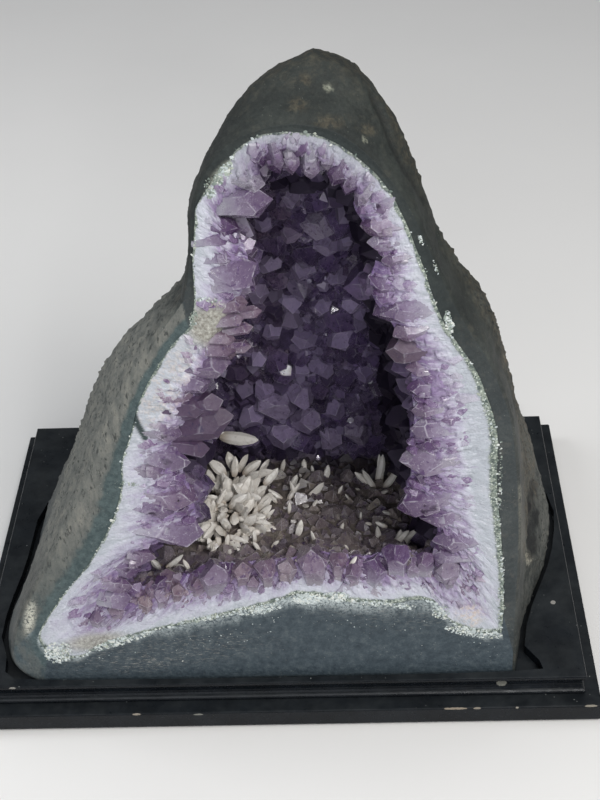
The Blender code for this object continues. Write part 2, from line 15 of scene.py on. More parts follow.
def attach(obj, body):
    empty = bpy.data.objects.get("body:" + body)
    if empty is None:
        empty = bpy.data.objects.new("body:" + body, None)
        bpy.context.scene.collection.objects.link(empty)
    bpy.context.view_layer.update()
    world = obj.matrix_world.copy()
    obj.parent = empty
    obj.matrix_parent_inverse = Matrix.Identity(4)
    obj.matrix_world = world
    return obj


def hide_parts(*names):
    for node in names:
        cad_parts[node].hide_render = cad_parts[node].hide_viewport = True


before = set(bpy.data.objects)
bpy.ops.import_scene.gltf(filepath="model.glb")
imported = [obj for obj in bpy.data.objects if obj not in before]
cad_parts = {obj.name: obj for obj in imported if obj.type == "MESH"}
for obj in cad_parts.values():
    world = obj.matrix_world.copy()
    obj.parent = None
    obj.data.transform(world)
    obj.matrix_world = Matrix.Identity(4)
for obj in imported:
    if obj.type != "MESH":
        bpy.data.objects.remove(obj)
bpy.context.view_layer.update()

MM = 0.001

# ----------------------------------------------------------------- design stations (mm)
TOP_Z1 = 36.9
POCKET_Z = 28.9
GEODE_Z = 29.2
FRONT_Y = -144.7
LEAN = math.tan(math.radians(4.0))
SAMPLES = (11, 4, 5, 6, 6, 6, 6, 8)

SKIN_FRONT = [(-180, 29.2), (-197, 45), (-199, 68), (-185, 105), (-160, 150), (-141, 188),
              (-122, 227), (-105, 264), (-88, 298), (-68, 330), (-45, 363),
              (-39, 390), (-36, 420),
              (-24, 451), (-6, 470), (14, 478), (32, 480),
              (55, 474), (76, 457), (95, 432), (110, 400), (118, 378),
              (133, 344), (151, 311), (165, 272), (170, 246),
              (175, 197), (177, 143), (177, 95), (177, 55), (177, 29.2)]
SKIN_122 = [(-207, 29.2), (-206, 44), (-200.5, 67), (-185, 105.5), (-161.5, 151), (-144.5, 188),
            (-127, 229), (-111, 264), (-94, 299), (-72, 328), (-46, 358),
            (-39.5, 388), (-36, 420),
            (-25, 449), (-8, 471), (13, 484), (34, 489),
            (59, 484), (78, 467), (95, 443), (108.5, 406), (117, 381),
            (133.5, 350), (151, 319), (165.5, 274.5), (171.5, 245.5),
            (178, 197.5), (181, 145), (182, 97), (182.5, 56), (182.5, 29.2)]
SKIN_90 = [(-214, 29.2), (-211, 44), (-200, 66), (-184, 106), (-163, 152), (-148, 188),
           (-132, 227), (-118, 262), (-99, 298), (-76, 322), (-48, 348),
           (-39, 385), (-35, 420),
           (-21, 446), (-6, 471), (14, 490.5), (41, 503),
           (62, 496), (81, 475), (95, 452), (109, 412), (118, 383),
           (134, 353), (151, 325), (166, 276), (173, 245),
           (182, 198), (186, 146), (188, 98), (189, 56), (189, 29.2)]
SKIN_20 = [(-207, 29.2), (-203, 42), (-195, 60), (-179, 96), (-158, 140), (-147, 170),
           (-134, 205), (-119, 236), (-97, 260), (-72, 283), (-52, 301),
           (-42, 345), (-36, 382),
           (-24, 412), (-10, 438), (10, 460), (42, 476),
           (64, 468), (80, 447), (93, 423), (106, 388), (117, 345),
           (131, 322), (147, 303), (161, 274), (170, 240),
           (184, 178), (196, 138), (204, 100), (212, 60), (215, 29.2)]
SKIN_REAR_50 = [(-201, 29.2), (-198, 42), (-191, 60), (-176, 92), (-156, 130), (-142, 158),
                (-127, 188), (-110, 214), (-90, 238), (-70, 260), (-54, 280),
                (-45, 305), (-38, 330),
                (-27, 352), (-12, 372), (8, 388), (34, 396),
                (58, 390), (76, 375), (90, 353), (103, 325), (115, 300),
                (128, 278), (142, 255), (156, 228), (166, 203),
                (182, 160), (194, 125), (204, 92), (213, 56), (219, 29.2)]
SKIN_REAR_100 = [(-158, 29.2), (-156, 42), (-150, 58), (-140, 80), (-126, 104), (-114, 124),
                 (-100, 145), (-86, 164), (-71, 182), (-56, 198), (-43, 212),
                 (-34, 226), (-26, 240),
                 (-15, 253), (0, 264), (16, 272), (34, 275),
                 (52, 271), (68, 261), (82, 247), (95, 229), (106, 212),
                 (117, 196), (128, 178), (139, 158), (147, 141),
                 (156, 114), (163, 92), (168, 70), (171, 48), (172, 29.2)]
SKIN_STRETCHES = [(0, 10), (10, 12), (12, 16), (16, 21), (21, 25), (25, 30)]
SKIN_DEPTHS = [FRONT_Y, -122.0, -90.0, -20.0, 50.0, 100.0, 120.0]
REAR_TIP = (8.0, 126.6, 63.0)

SEAM = [
    [(-173, 63), (-176, 81), (-156, 114), (-134, 143), (-117, 171), (-106, 194), (-99, 218),
     (-97, 237), (-88, 260), (-81, 283), (-69, 307), (-55, 328), (-41, 343)],
    [(-41, 343), (-37, 361), (-36, 387), (-34, 403), (-31, 426)],
    [(-31, 426), (-25, 436), (-14, 450), (-4, 463), (6, 470), (14, 473), (27, 474)],
    [(27, 474), (42, 472), (53, 467), (62, 461), (72, 452), (81, 442), (88, 431), (93, 420),
     (98, 408), (103, 393), (108, 379)],
    [(108, 379), (112, 364), (117, 349), (123, 335), (130, 324), (142, 303), (149, 284),
     (155, 264), (158, 246)],
    [(158, 246), (158, 223), (159, 199), (162, 173), (164, 148), (166, 121), (167, 95), (166, 72)],
    [(166, 72), (147, 74), (129, 85), (118, 103), (102, 107), (87, 104), (61, 106), (41, 111),
     (17, 115)],
    [(17, 115), (-4, 106), (-33, 97), (-62, 89), (-91, 82), (-114, 75), (-135, 66), (-147, 57),
     (-160, 56), (-173, 63)],
]
MOUTH = [
    [(-108, 119), (-98, 142), (-83, 166), (-63, 172), (-52, 178), (-52, 202), (-57, 219),
     (-54, 236), (-58, 250), (-47, 271), (-41, 293), (-28, 306), (-28, 325)],
    [(-28, 325), (-19, 340), (-12, 354), (-3, 372), (-2, 390), (-8, 405)],
    [(-8, 405), (-17, 418), (-10, 428), (3, 432), (9, 440), (10, 452), (25, 459)],
    [(25, 459), (37, 454), (46, 449), (55, 440), (63, 431), (66, 418), (74, 405), (79, 393),
     (77, 380)],
    [(77, 380), (74, 370), (76, 356), (86, 339), (96, 321), (100, 298), (101, 277), (102, 262),
     (98, 243)],
    [(98, 243), (99, 228), (100, 214), (97, 200), (110, 186), (118, 176), (119, 158)],
    [(119, 158), (112, 143), (98, 148), (88, 152), (75, 145), (62, 144), (45, 147), (30, 149),
     (17, 145)],
    [(17, 145), (-2, 142), (-19, 141), (-42, 140), (-50, 135), (-66, 130), (-81, 125), (-96, 120),
     (-108, 119)],
]
SEAM_DEEP = [
    [(-150, 74), (-150, 95), (-140, 120), (-125, 150), (-112, 178), (-100, 205), (-88, 232),
     (-74, 256), (-58, 278), (-45, 298)],
    [(-45, 298), (-40, 322), (-36, 350)],
    [(-36, 350), (-27, 385), (-12, 412), (8, 430), (28, 436)],
    [(28, 436), (52, 432), (70, 418), (82, 398), (92, 372), (98, 345)],
    [(98, 345), (108, 320), (120, 295), (132, 265), (138, 240)],
    [(138, 240), (144, 200), (148, 150), (150, 110), (148, 74)],
    [(148, 74), (80, 72), (15, 72)],
    [(15, 72), (-70, 72), (-150, 74)],
]
SEAM_NEAR = ((0.0, 0.0), (20.0, 0.3), (55.0, 0.72), (105.0, 1.0))
SEAM_FAR = ((150.0, 0.93, 0.87, 74.0), (185.0, 0.76, 0.66, 82.0), (205.0, 0.44, 0.38, 108.0))
SEAM_END = (214.0, 15.0, 160.0)
REAR_WALL = [
    [(-70, 110), (-66, 135), (-60, 160), (-54, 190), (-50, 220), (-44, 250), (-38, 280), (-31, 305)],
    [(-31, 305), (-26, 325), (-20, 345)],
    [(-20, 345), (-10, 362), (4, 375), (24, 382)],
    [(24, 382), (42, 377), (56, 362), (64, 345), (69, 328)],
    [(69, 328), (76, 300), (82, 270), (86, 243)],
    [(86, 243), (89, 205), (90, 160), (88, 110)],
    [(88, 110), (60, 108), (17, 108)],
    [(17, 108), (-25, 108), (-70, 110)],
]
REAR_AXIS = (12.0, 235.0)
FLOOR_Z = 109.0
HOLLOW_REAR_Y = 18.0
HOLLOW_REAR_LEAN = -0.136


# ----------------------------------------------------------------- numbers
def rng_of(seed):
    return np.random.default_rng(seed)


def norm(v, axis=-1):
    return v / np.maximum(np.linalg.norm(v, axis=axis, keepdims=True), 1e-12)


def smooth(lo, hi, x):
    t = np.clip((np.asarray(x, float) - lo) / (hi - lo), 0.0, 1.0)
    return t * t * (3.0 - 2.0 * t)


def _hash(i, j, k, salt):
    h = (i.astype(np.uint64) * np.uint64(73856093)) ^ (j.astype(np.uint64) * np.uint64(19349663)) \
        ^ (k.astype(np.uint64) * np.uint64(83492791)) ^ np.uint64(salt * 2654435761 + 12345)
    h &= np.uint64(0xffffffff)
    h = ((h ^ (h >> np.uint64(15))) * np.uint64(2246822519)) & np.uint64(0xffffffff)
    h = ((h ^ (h >> np.uint64(13))) * np.uint64(3266489917)) & np.uint64(0xffffffff)
    return (h ^ (h >> np.uint64(16))) & np.uint64(0xffffffff)


def noise3(p, size, salt=0):
    """Smooth noise in -1..1 at points p, with features about `size` across."""
    q = np.asarray(p, float) / size
    c = np.floor(q).astype(np.int64)
    f = q - c
    w = f * f * f * (f * (f * 6.0 - 15.0) + 10.0)
    out = np.zeros(len(q))
    for dx, dy, dz in itertools.product((0, 1), repeat=3):
        h = _hash(c[:, 0] + dx, c[:, 1] + dy, c[:, 2] + dz, salt)
        gx = (h & np.uint64(1023)).astype(float) / 511.5 - 1.0
        gy = ((h >> np.uint64(10)) & np.uint64(1023)).astype(float) / 511.5 - 1.0
        gz = ((h >> np.uint64(20)) & np.uint64(1023)).astype(float) / 511.5 - 1.0
        g = gx * (f[:, 0] - dx) + gy * (f[:, 1] - dy) + gz * (f[:, 2] - dz)
        out += g * (w[:, 0] if dx else 1 - w[:, 0]) * (w[:, 1] if dy else 1 - w[:, 1]) \
            * (w[:, 2] if dz else 1 - w[:, 2])
    return np.clip(out * 1.3, -1.0, 1.0)


def layered(p, size, octaves=4, gain=0.5, salt=0):
    total, amp, ref = np.zeros(len(p)), 1.0, 0.0
    for k in range(octaves):
        total += noise3(p, size, salt + k) * amp
        ref += amp
        amp *= gain
        size *= 0.5
    return total / ref * 1.4


def cells(p, size, salt=0, where=False):
    """Distance to the nearest and second nearest scattered point, and that point's number."""
    q = np.asarray(p, float) / size
    c = np.floor(q).astype(np.int64)
    f1 = np.full(len(q), 9.0)
    f2 = np.full(len(q), 9.0)
    who = np.zeros(len(q))
    gap = np.zeros((len(q), 3))
    for off in itertools.product((-1, 0, 1), repeat=3):
        i, j, k = (c[:, n] + off[n] for n in range(3))
        h = _hash(i, j, k, salt)
        pt = np.stack([i + (h & np.uint64(1023)).astype(float) / 1023.0,
                       j + ((h >> np.uint64(10)) & np.uint64(1023)).astype(float) / 1023.0,
                       k + ((h >> np.uint64(20)) & np.uint64(1023)).astype(float) / 1023.0], axis=1)
        d = np.linalg.norm(q - pt, axis=1)
        near = d < f1
        f2 = np.where(near, f1, np.minimum(f2, d))
        who = np.where(near, (h % np.uint64(997)).astype(float) / 997.0, who)
        gap[near] = (q - pt)[near]
        f1 = np.where(near, d, f1)
    return (f1, f2, who, gap) if where else (f1, f2, who)


def shards(p, size, salt, steep):
    """Broken facets: every cell is a small plane with a lean and a level of its own."""
    f1, f2, who, gap = cells(p, size, salt, True)
    a, b = who * 2.0 * math.pi * 7.0, np.mod(who * 37.0, 1.0)
    lean = np.stack([np.cos(a), np.sin(a), 2.0 * b - 1.0], axis=1)
    return ((who - 0.5) * 0.8 + (gap * lean).sum(1) * 0.9) * size * steep


# ----------------------------------------------------------------- loops
def spline(points, count, closed=False):
    pts = np.asarray(points, float)
    n = len(pts)
    fine = []
    for i in range(n if closed else n - 1):
        if closed:
            a, b, c, d = pts[i - 1], pts[i], pts[(i + 1) % n], pts[(i + 2) % n]
        else:
            a, b, c, d = pts[max(i - 1, 0)], pts[i], pts[i + 1], pts[min(i + 2, n - 1)]
        t = (np.arange(12) / 12.0)[:, None]
        fine.append(0.5 * (2 * b + (c - a) * t + (2 * a - 5 * b + 4 * c - d) * t * t
                           + (3 * b - a - 3 * c + d) * t * t * t))
    fine.append((pts[0] if closed else pts[-1])[None])
    fine = np.concatenate(fine)
    run = np.concatenate([[0.0], np.cumsum(np.linalg.norm(np.diff(fine, axis=0), axis=1))])
    want = run[-1] * np.arange(count) / count
    return np.stack([np.interp(want, run, fine[:, k]) for k in range(fine.shape[1])], axis=1)


def loop_of(stretches, times):
    return np.concatenate([spline(part, count * times)
                           for part, count in zip(stretches, SAMPLES)])


def skin_loop(section, times):
    parts = [section[a:b + 1] for a, b in SKIN_STRETCHES]
    left, right = section[0], section[-1]
    parts.append([right, (right[0] * 0.5, GEODE_Z), (0.0, GEODE_Z)])
    parts.append([(0.0, GEODE_Z), (left[0] * 0.5, GEODE_Z), left])
    return loop_of(parts, times)


def front_y(z):
    return FRONT_Y + (z - TOP_Z1) * LEAN


def mix_loops(loops, depths, at):
    n = len(depths)
    k = 0
    while k < n - 2 and at > depths[k + 1]:
        k += 1
    t = (at - depths[k]) / (depths[k + 1] - depths[k])
    a, b, c, d = (loops[max(k - 1, 0)], loops[k], loops[k + 1], loops[min(k + 2, n - 1)])
    h = depths[k + 1] - depths[k]
    m0 = (c - a) / max(depths[k + 1] - depths[max(k - 1, 0)], 1e-9) * h
    m1 = (d - b) / max(depths[min(k + 2, n - 1)] - depths[k], 1e-9) * h
    return (2 * t ** 3 - 3 * t * t + 1) * b + (t ** 3 - 2 * t * t + t) * m0 \
        + (-2 * t ** 3 + 3 * t * t) * c + (t ** 3 - t * t) * m1


# ----------------------------------------------------------------- meshes
def piece_of(name, verts, faces, material, soft=False, paint=None):
    """A mesh object from points in millimetres and a list of faces."""
    mesh = bpy.data.meshes.new(name)
    sizes = np.array([len(f) for f in faces], dtype=np.int32)
    flat = np.concatenate([np.asarray(f, dtype=np.int32) for f in faces])
    mesh.vertices.add(len(verts))
    mesh.vertices.foreach_set("co", (np.asarray(verts, float) * MM).astype(np.float32).ravel())
    mesh.loops.add(len(flat))
    mesh.loops.foreach_set("vertex_index", flat)
    mesh.polygons.add(len(sizes))
    mesh.polygons.foreach_set("loop_start", np.concatenate([[0], np.cumsum(sizes)[:-1]]).astype(np.int32))
    mesh.polygons.foreach_set("loop_total", sizes)
    mesh.polygons.foreach_set("use_smooth", np.full(len(sizes), bool(soft)))
    mesh.update(calc_edges=True)
    mesh.validate()
    for key, values in (paint or {}).items():
        layer = mesh.color_attributes.new(name=key, type='FLOAT_COLOR', domain='POINT')
        data = np.ones((len(verts), 4), dtype=np.float32)
        values = np.asarray(values, dtype=np.float32)
        data[:, :values.shape[1]] = values
        layer.data.foreach_set("color", data.ravel())
    mesh.materials.append(material)
    obj = bpy.data.objects.new(name, mesh)
    bpy.context.scene.collection.objects.link(obj)
    return obj


def grid_faces(rows, cols, wrap=True, flip=False):
    i, j = np.meshgrid(np.arange(rows - 1), np.arange(cols if wrap else cols - 1), indexing="ij")
    a = i * cols + j
    b = i * cols + (j + 1) % cols
    quads = np.stack([a, b, b + cols, a + cols], axis=-1).reshape(-1, 4)
    return quads[:, ::-1] if flip else quads


def grid_normals(grid):
    """Normals of a (rows, cols, 3) grid that closes along its columns."""
    du = np.roll(grid, -1, axis=1) - np.roll(grid, 1, axis=1)
    dv = np.gradient(grid, axis=0)
    return norm(np.cross(du, dv))


# ----------------------------------------------------------------- materials
class Paint:
    """A node material, built in short steps."""

    def __init__(self, name):
        self.mat = bpy.data.materials.new(name)
        self.mat.use_nodes = True
        self.tree = self.mat.node_tree
        self.shader = self.tree.nodes["Principled BSDF"]
        self.out = self.tree.nodes["Material Output"]
        self.at = self.add("ShaderNodeTexCoord").outputs["Object"]

    def add(self, kind, **values):
        node = self.tree.nodes.new(kind)
        for key, value in values.items():
            setattr(node, key, value)
        return node

    def put(self, socket, value):
        if isinstance(value, bpy.types.NodeSocket):
            self.tree.links.new(value, socket)
        elif hasattr(socket.default_value, "__len__") and isinstance(value, (tuple, list)):
            size = len(socket.default_value)
            value = tuple(value) + (1.0,) * (size - len(value))
            socket.default_value = value[:size]
        else:
            socket.default_value = value

    def set(self, name, value):
        self.put(self.shader.inputs[name], value)

    def noise(self, size, detail=4.0, rough=0.55, warp=0.0, vector=None, kind="Fac"):
        node = self.add("ShaderNodeTexNoise")
        self.put(node.inputs["Vector"], vector if vector is not None else self.at)
        node.inputs["Scale"].default_value = 1.0 / (size * MM)
        node.inputs["Detail"].default_value = detail
        node.inputs["Roughness"].default_value = rough
        node.inputs["Distortion"].default_value = warp
        return node.outputs[kind]

    def cell(self, size, feature='F1', out="Distance", vector=None, jitter=1.0):
        node = self.add("ShaderNodeTexVoronoi", feature=feature)
        self.put(node.inputs["Vector"], vector if vector is not None else self.at)
        node.inputs["Scale"].default_value = 1.0 / (size * MM)
        node.inputs["Randomness"].default_value = jitter
        return node.outputs[out]

    def math(self, op, a, b=0.0, c=None, clamp=False):
        node = self.add("ShaderNodeMath", operation=op, use_clamp=clamp)
        self.put(node.inputs[0], a)
        self.put(node.inputs[1], b)
        if c is not None:
            self.put(node.inputs[2], c)
        return node.outputs[0]

    def span(self, value, lo, hi, to_lo=0.0, to_hi=1.0, step='SMOOTHSTEP'):
        node = self.add("ShaderNodeMapRange", interpolation_type=step)
        self.put(node.inputs["Value"], value)
        for key, number in (("From Min", lo), ("From Max", hi), ("To Min", to_lo), ("To Max", to_hi)):
            self.put(node.inputs[key], number)
        return node.outputs["Result"]

    def mix(self, a, b, share, how='MIX'):
        node = self.add("ShaderNodeMix", data_type='RGBA', blend_type=how)
        self.put(node.inputs[0], share)
        self.put(node.inputs[6], a)
        self.put(node.inputs[7], b)
        return node.outputs[2]

    def ramp(self, value, stops):
        node = self.add("ShaderNodeValToRGB")
        band = node.color_ramp
        while len(band.elements) < len(stops):
            band.elements.new(0.5)
        for element, (place, colour) in zip(band.elements, stops):
            element.position = place
            element.color = (*colour, 1.0)
        self.put(node.inputs["Fac"], value)
        return node.outputs["Color"]

    def scaled(self, sx, sy, sz, turn=(0.0, 0.0, 0.0)):
        node = self.add("ShaderNodeMapping")
        self.put(node.inputs["Vector"], self.at)
        node.inputs["Scale"].default_value = (sx, sy, sz)
        node.inputs["Rotation"].default_value = tuple(math.radians(a) for a in turn)
        return node.outputs["Vector"]

    def layer(self, name):
        node = self.add("ShaderNodeAttribute", attribute_name=name)
        split = self.add("ShaderNodeSeparateColor")
        self.put(split.inputs[0], node.outputs["Color"])
        return node.outputs["Color"], split.outputs[0], split.outputs[1], split.outputs[2]

    def alpha(self, name):
        return self.add("ShaderNodeAttribute", attribute_name=name).outputs["Alpha"]

    def along(self, name, sx, sy, sz):
        """A stored vector, stretched: the way a texture follows the growth of the quartz."""
        node = self.add("ShaderNodeMapping")
        self.put(node.inputs["Vector"], self.add("ShaderNodeAttribute", attribute_name=name).outputs["Vector"])
        node.inputs["Scale"].default_value = (sx, sy, sz)
        return node.outputs["Vector"]

    def spot(self, place, radii, ragged=0.5, grain=3.0):
        """1 inside a small ragged oval around a place of the object (mm)."""
        shift = self.add("ShaderNodeVectorMath", operation='SUBTRACT')
        self.put(shift.inputs[0], self.at)
        shift.inputs[1].default_value = tuple(c * MM for c in place)
        scale = self.add("ShaderNodeVectorMath", operation='DIVIDE')
        self.put(scale.inputs[0], shift.outputs[0])
        scale.inputs[1].default_value = tuple(r * MM for r in radii)
        far = self.add("ShaderNodeVectorMath", operation='LENGTH')
        self.put(far.inputs[0], scale.outputs[0])
        rag = self.math('MULTIPLY', self.math('SUBTRACT', self.noise(grain, 4.0, 0.7), 0.5), ragged * 2.0)
        return self.span(self.math('ADD', far.outputs["Value"], rag), 1.08, 0.92)

    def axes(self):
        split = self.add("ShaderNodeSeparateXYZ")
        self.put(split.inputs[0], self.at)
        return split.outputs

    def bump(self, height, distance, strength=1.0, under=None):
        node = self.add("ShaderNodeBump")
        self.put(node.inputs["Height"], height)
        node.inputs["Distance"].default_value = distance * MM
        node.inputs["Strength"].default_value = strength
        if under is not None:
            self.put(node.inputs["Normal"], under)
        return node.outputs["Normal"]


# ----------------------------------------------------------------- camera and light
EYE = np.array([0.0621, -0.8821, 0.8791])
TILT, TURN, ROLL, FOCAL = math.radians(38.21), math.radians(-2.70), math.radians(-3.14), 1461.0
ahead = np.array([math.sin(TURN) * math.cos(TILT), math.cos(TURN) * math.cos(TILT), -math.sin(TILT)])
side0 = np.array([math.cos(TURN), -math.sin(TURN), 0.0])
up0 = np.cross(side0, ahead)
side = math.cos(ROLL) * side0 + math.sin(ROLL) * up0
upward = -math.sin(ROLL) * side0 + math.cos(ROLL) * up0


def sight(px, py):
    return norm(ahead + side * (px - 300.0) / FOCAL - upward * (py - 400.0) / FOCAL)


def cast(tree, px, py):
    """Where the line of sight through a pixel of the photograph first meets a surface (mm)."""
    d = Vector(sight(px, py))
    hit, normal, _, _ = tree.ray_cast(Vector(EYE / MM), d)
    if hit is None:
        return None, None
    if normal.dot(d) > 0:
        normal = -normal
    return np.array(hit), np.array(normal)


def on_saw(px, py, back=0.0):
    """Where that line meets the saw plane, or a plane `back` millimetres behind it (mm)."""
    d = sight(px, py)
    e = EYE / MM
    t = (FRONT_Y + back + (e[2] - TOP_Z1) * LEAN - e[1]) / (d[1] - d[2] * LEAN)
    return e + d * t


def pixel_of(points):
    d = np.asarray(points) * MM - EYE
    z = d @ ahead
    return np.stack([300.0 + FOCAL * (d @ side) / z, 400.0 - FOCAL * (d @ upward) / z], axis=1)


def blob(at, px, py, rx, ry, soft=0.5, turn=0.0):
    """1 inside an oval of the photograph's frame, fading out at its edge."""
    a = math.radians(turn)
    dx, dy = at[:, 0] - px, at[:, 1] - py
    u = (dx * math.cos(a) + dy * math.sin(a)) / rx
    v = (-dx * math.sin(a) + dy * math.cos(a)) / ry
    return 1.0 - smooth(1.0 - soft, 1.0 + soft, np.hypot(u, v))


def stroke(at, line, width, soft=0.6):
    """1 along a drawn line of the photograph's frame, fading out to each side."""
    far = np.full(len(at), 1e9)
    for (x0, y0), (x1, y1) in zip(line[:-1], line[1:]):
        run = np.array([x1 - x0, y1 - y0], float)
        t = np.clip(((at - (x0, y0)) @ run) / (run @ run), 0.0, 1.0)
        far = np.minimum(far, np.linalg.norm(at - (np.array([x0, y0]) + t[:, None] * run), axis=1))
    return 1.0 - smooth(width * (1.0 - soft), width * (1.0 + soft), far)


camera = bpy.data.cameras.new("camera")
camera.lens = FOCAL * 36.0 / 800.0
camera.sensor_width = 36.0
camera.clip_start, camera.clip_end = 0.01, 50.0
camera_object = bpy.data.objects.new("camera", camera)
camera_object.matrix_world = Matrix((
    (side[0], upward[0], -ahead[0], EYE[0]), (side[1], upward[1], -ahead[1], EYE[1]),
    (side[2], upward[2], -ahead[2], EYE[2]), (0.0, 0.0, 0.0, 1.0)))
bpy.context.scene.collection.objects.link(camera_object)
bpy.context.scene.camera = camera_object


def area_light(name, place, aim, size, power, colour=(1.0, 1.0, 1.0)):
    lamp = bpy.data.lights.new(name, 'AREA')
    lamp.shape = 'RECTANGLE'
    lamp.size, lamp.size_y = size
    lamp.energy = power
    lamp.color = colour
    obj = bpy.data.objects.new(name, lamp)
    obj.location = place
    obj.rotation_euler = (Vector(aim) - Vector(place)).to_track_quat('-Z', 'Y').to_euler()
    bpy.context.scene.collection.objects.link(obj)
    return obj


KEY = np.array([0.95, -1.20, 1.85])
area_light("key", KEY, (0.0, -0.05, 0.22), (1.0, 0.9), 34.0, (1.0, 0.985, 0.965))
SPARK = np.array([0.42, -1.90, 1.22])
area_light("sparkle", SPARK, (0.0, -0.05, 0.22), (0.16, 0.2), 5.0)
area_light("front", (-0.45, -2.2, 1.2), (0.0, -0.1, 0.2), (1.3, 1.0), 11.0, (0.93, 0.96, 1.0))
area_light("left", (-1.75, 0.1, 1.35), (-0.1, 0.0, 0.2), (1.3, 1.2), 17.0, (0.95, 0.975, 1.0))
area_light("top", (0.1, 0.6, 2.1), (0.0, 0.2, 0.1), (1.6, 1.2), 8.0, (0.95, 0.97, 1.0))

world = bpy.data.worlds.new("room")
world.use_nodes = True
world.node_tree.nodes["Background"].inputs["Color"].default_value = (0.90, 0.93, 1.0, 1.0)
world.node_tree.nodes["Background"].inputs["Strength"].default_value = 0.15
bpy.context.scene.world = world
bpy.context.scene.view_settings.view_transform = 'Standard'

ground = Paint("pale_floor")
ground.set("Base Color", ground.mix((0.80, 0.79, 0.77), (0.84, 0.83, 0.81), ground.noise(220.0, 3.0)))
ground.set("Roughness", 0.7)
floor = piece_of("floor", [(-4000, -4000, 0), (4000, -4000, 0), (4000, 4000, 0), (-4000, 4000, 0)],
                 [(0, 1, 2, 3)], ground.mat)


# ----------------------------------------------------------------- rock
def rock_material():
    p = Paint("basalt")
    _, dust, smoothness, brown = p.layer("marks")
    _, pale, stain, dark = p.layer("spots")
    # the alpha of spots carries the painted shade of the dome
    shadow = p.alpha("spots")
    _, blue, teal, pit_shade = p.layer("tint")
    fine = p.noise(3.2, 5.0, 0.62)
    broad = p.noise(34.0, 4.0, 0.6)
    grain = p.noise(0.9, 3.0, 0.6)
    # bare grey-green rock, lighter and darker in patches
    base = p.ramp(p.math('ADD', p.math('MULTIPLY', broad, 0.55), p.math('MULTIPLY', fine, 0.45)), [
        (0.34, (0.020, 0.024, 0.023)), (0.47, (0.034, 0.039, 0.037)), (0.58, (0.054, 0.060, 0.056)),
        (0.72, (0.090, 0.094, 0.084))])
    # dull beige mottling of the sealed skin
    base = p.mix(base, (0.105, 0.098, 0.080), p.math('MULTIPLY', p.span(p.noise(9.0, 6.0, 0.72), 0.52, 0.66), 0.5))
    # sawn face and seal: bluer and darker
    base = p.mix(base, p.ramp(p.noise(5.0, 6.0, 0.7), [(0.36, (0.030, 0.044, 0.056)), (0.55, (0.052, 0.072, 0.086)),
                                                       (0.70, (0.085, 0.105, 0.115))]), blue)
    base = p.mix(base, p.ramp(p.noise(4.0, 5.0, 0.7), [(0.38, (0.038, 0.064, 0.068)), (0.62, (0.092, 0.132, 0.134))]),
                 p.math('MULTIPLY', teal, 0.85))
    # beige dust that lies in streaks down the flank, with short dark dashes left free
    lie = p.scaled(1.0, 0.9, 0.34, (0.0, -28.0, 0.0))
    streak = p.noise(6.0, 6.0, 0.7, 0.0, lie)
    dash = p.noise(2.6, 4.0, 0.72, 0.0, lie)
    dusty = p.ramp(streak, [(0.30, (0.085, 0.092, 0.087)), (0.48, (0.145, 0.150, 0.137)),
                            (0.66, (0.215, 0.212, 0.185))])
    dusty = p.mix(dusty, (0.035, 0.039, 0.038), p.math('MULTIPLY', p.span(dash, 0.54, 0.64), 0.9))
    cover = p.math('MULTIPLY', dust, p.span(p.math('ADD', streak, p.math('MULTIPLY', dust, 0.42)), 0.50, 0.70))
    base = p.mix(base, dusty, cover)
    # brown and golden weathering
    rust = p.ramp(p.noise(4.5, 5.0, 0.7), [(0.35, (0.045, 0.038, 0.030)), (0.5, (0.120, 0.098, 0.070)),
                                           (0.66, (0.215, 0.180, 0.125))])
    base = p.mix(base, rust, p.math('MULTIPLY', brown, p.span(p.noise(6.0, 5.0, 0.7), 0.40, 0.60)))
    # dark pits of the crust: painted shade that stands for the hollows of the pits
    pit = p.span(p.cell(3.6), 0.30, 0.12)
    base = p.mix(base, (0.022, 0.022, 0.020), p.math('MULTIPLY', p.math('MULTIPLY', pit, pit_shade), 0.85))
    # pale mineral specks
    speck = p.span(p.cell(2.4), 0.15, 0.05)
    some = p.span(p.noise(16.0, 3.0), 0.50, 0.62)
    base = p.mix(base, (0.38, 0.38, 0.33), p.math('MULTIPLY', p.math('MULTIPLY', speck, some), 0.7))
    # cream lime on the patches and scratches, and dark cracks: painted shade in the crevice, the slit of the gash and
    # the crease
    lime = p.ramp(p.noise(2.2, 4.0, 0.7), [(0.35, (0.36, 0.34, 0.26)), (0.6, (0.70, 0.67, 0.55))])
    lime = p.mix(lime, p.ramp(p.noise(1.8, 4.0, 0.7), [(0.35, (0.26, 0.31, 0.31)), (0.6, (0.60, 0.66, 0.66))]), blue)
    base = p.mix(base, lime, p.math('MULTIPLY', pale, p.span(p.noise(2.0, 4.0, 0.75), 0.36, 0.54)))
    base = p.mix(base, (0.32, 0.31, 0.28), p.math('MULTIPLY', stain, p.span(
        p.noise(1.6, 5.0, 0.8, 0.0, p.scaled(0.35, 1.0, 1.6, (0.0, 8.0, 0.0))), 0.53, 0.62)))
    base = p.mix(base, (0.008, 0.009, 0.010), dark)
    base = p.mix(base, (0.5, 0.5, 0.5), p.math('MULTIPLY', p.math('SUBTRACT', grain, 0.5), 0.16), 'ADD')
    # painted shade on the front of the dome
    base = p.mix(base, (0.48, 0.52, 0.50), shadow, 'MULTIPLY')
    p.set("Base Color", base)
    p.set("Roughness", p.math('ADD', p.span(smoothness, 0.0, 1.0, 0.92, 0.62),
                              p.math('MULTIPLY', p.math('SUBTRACT', fine, 0.5), 0.2)))
    p.set("Specular IOR Level", 0.35)
    rough = p.math('ADD', p.math('MULTIPLY', p.noise(2.0, 6.0, 0.7), 1.0),
                   p.math('MULTIPLY', p.cell(2.4), 0.5))
    p.set("Normal", p.bump(rough, 0.9, 0.6))
    return p.mat


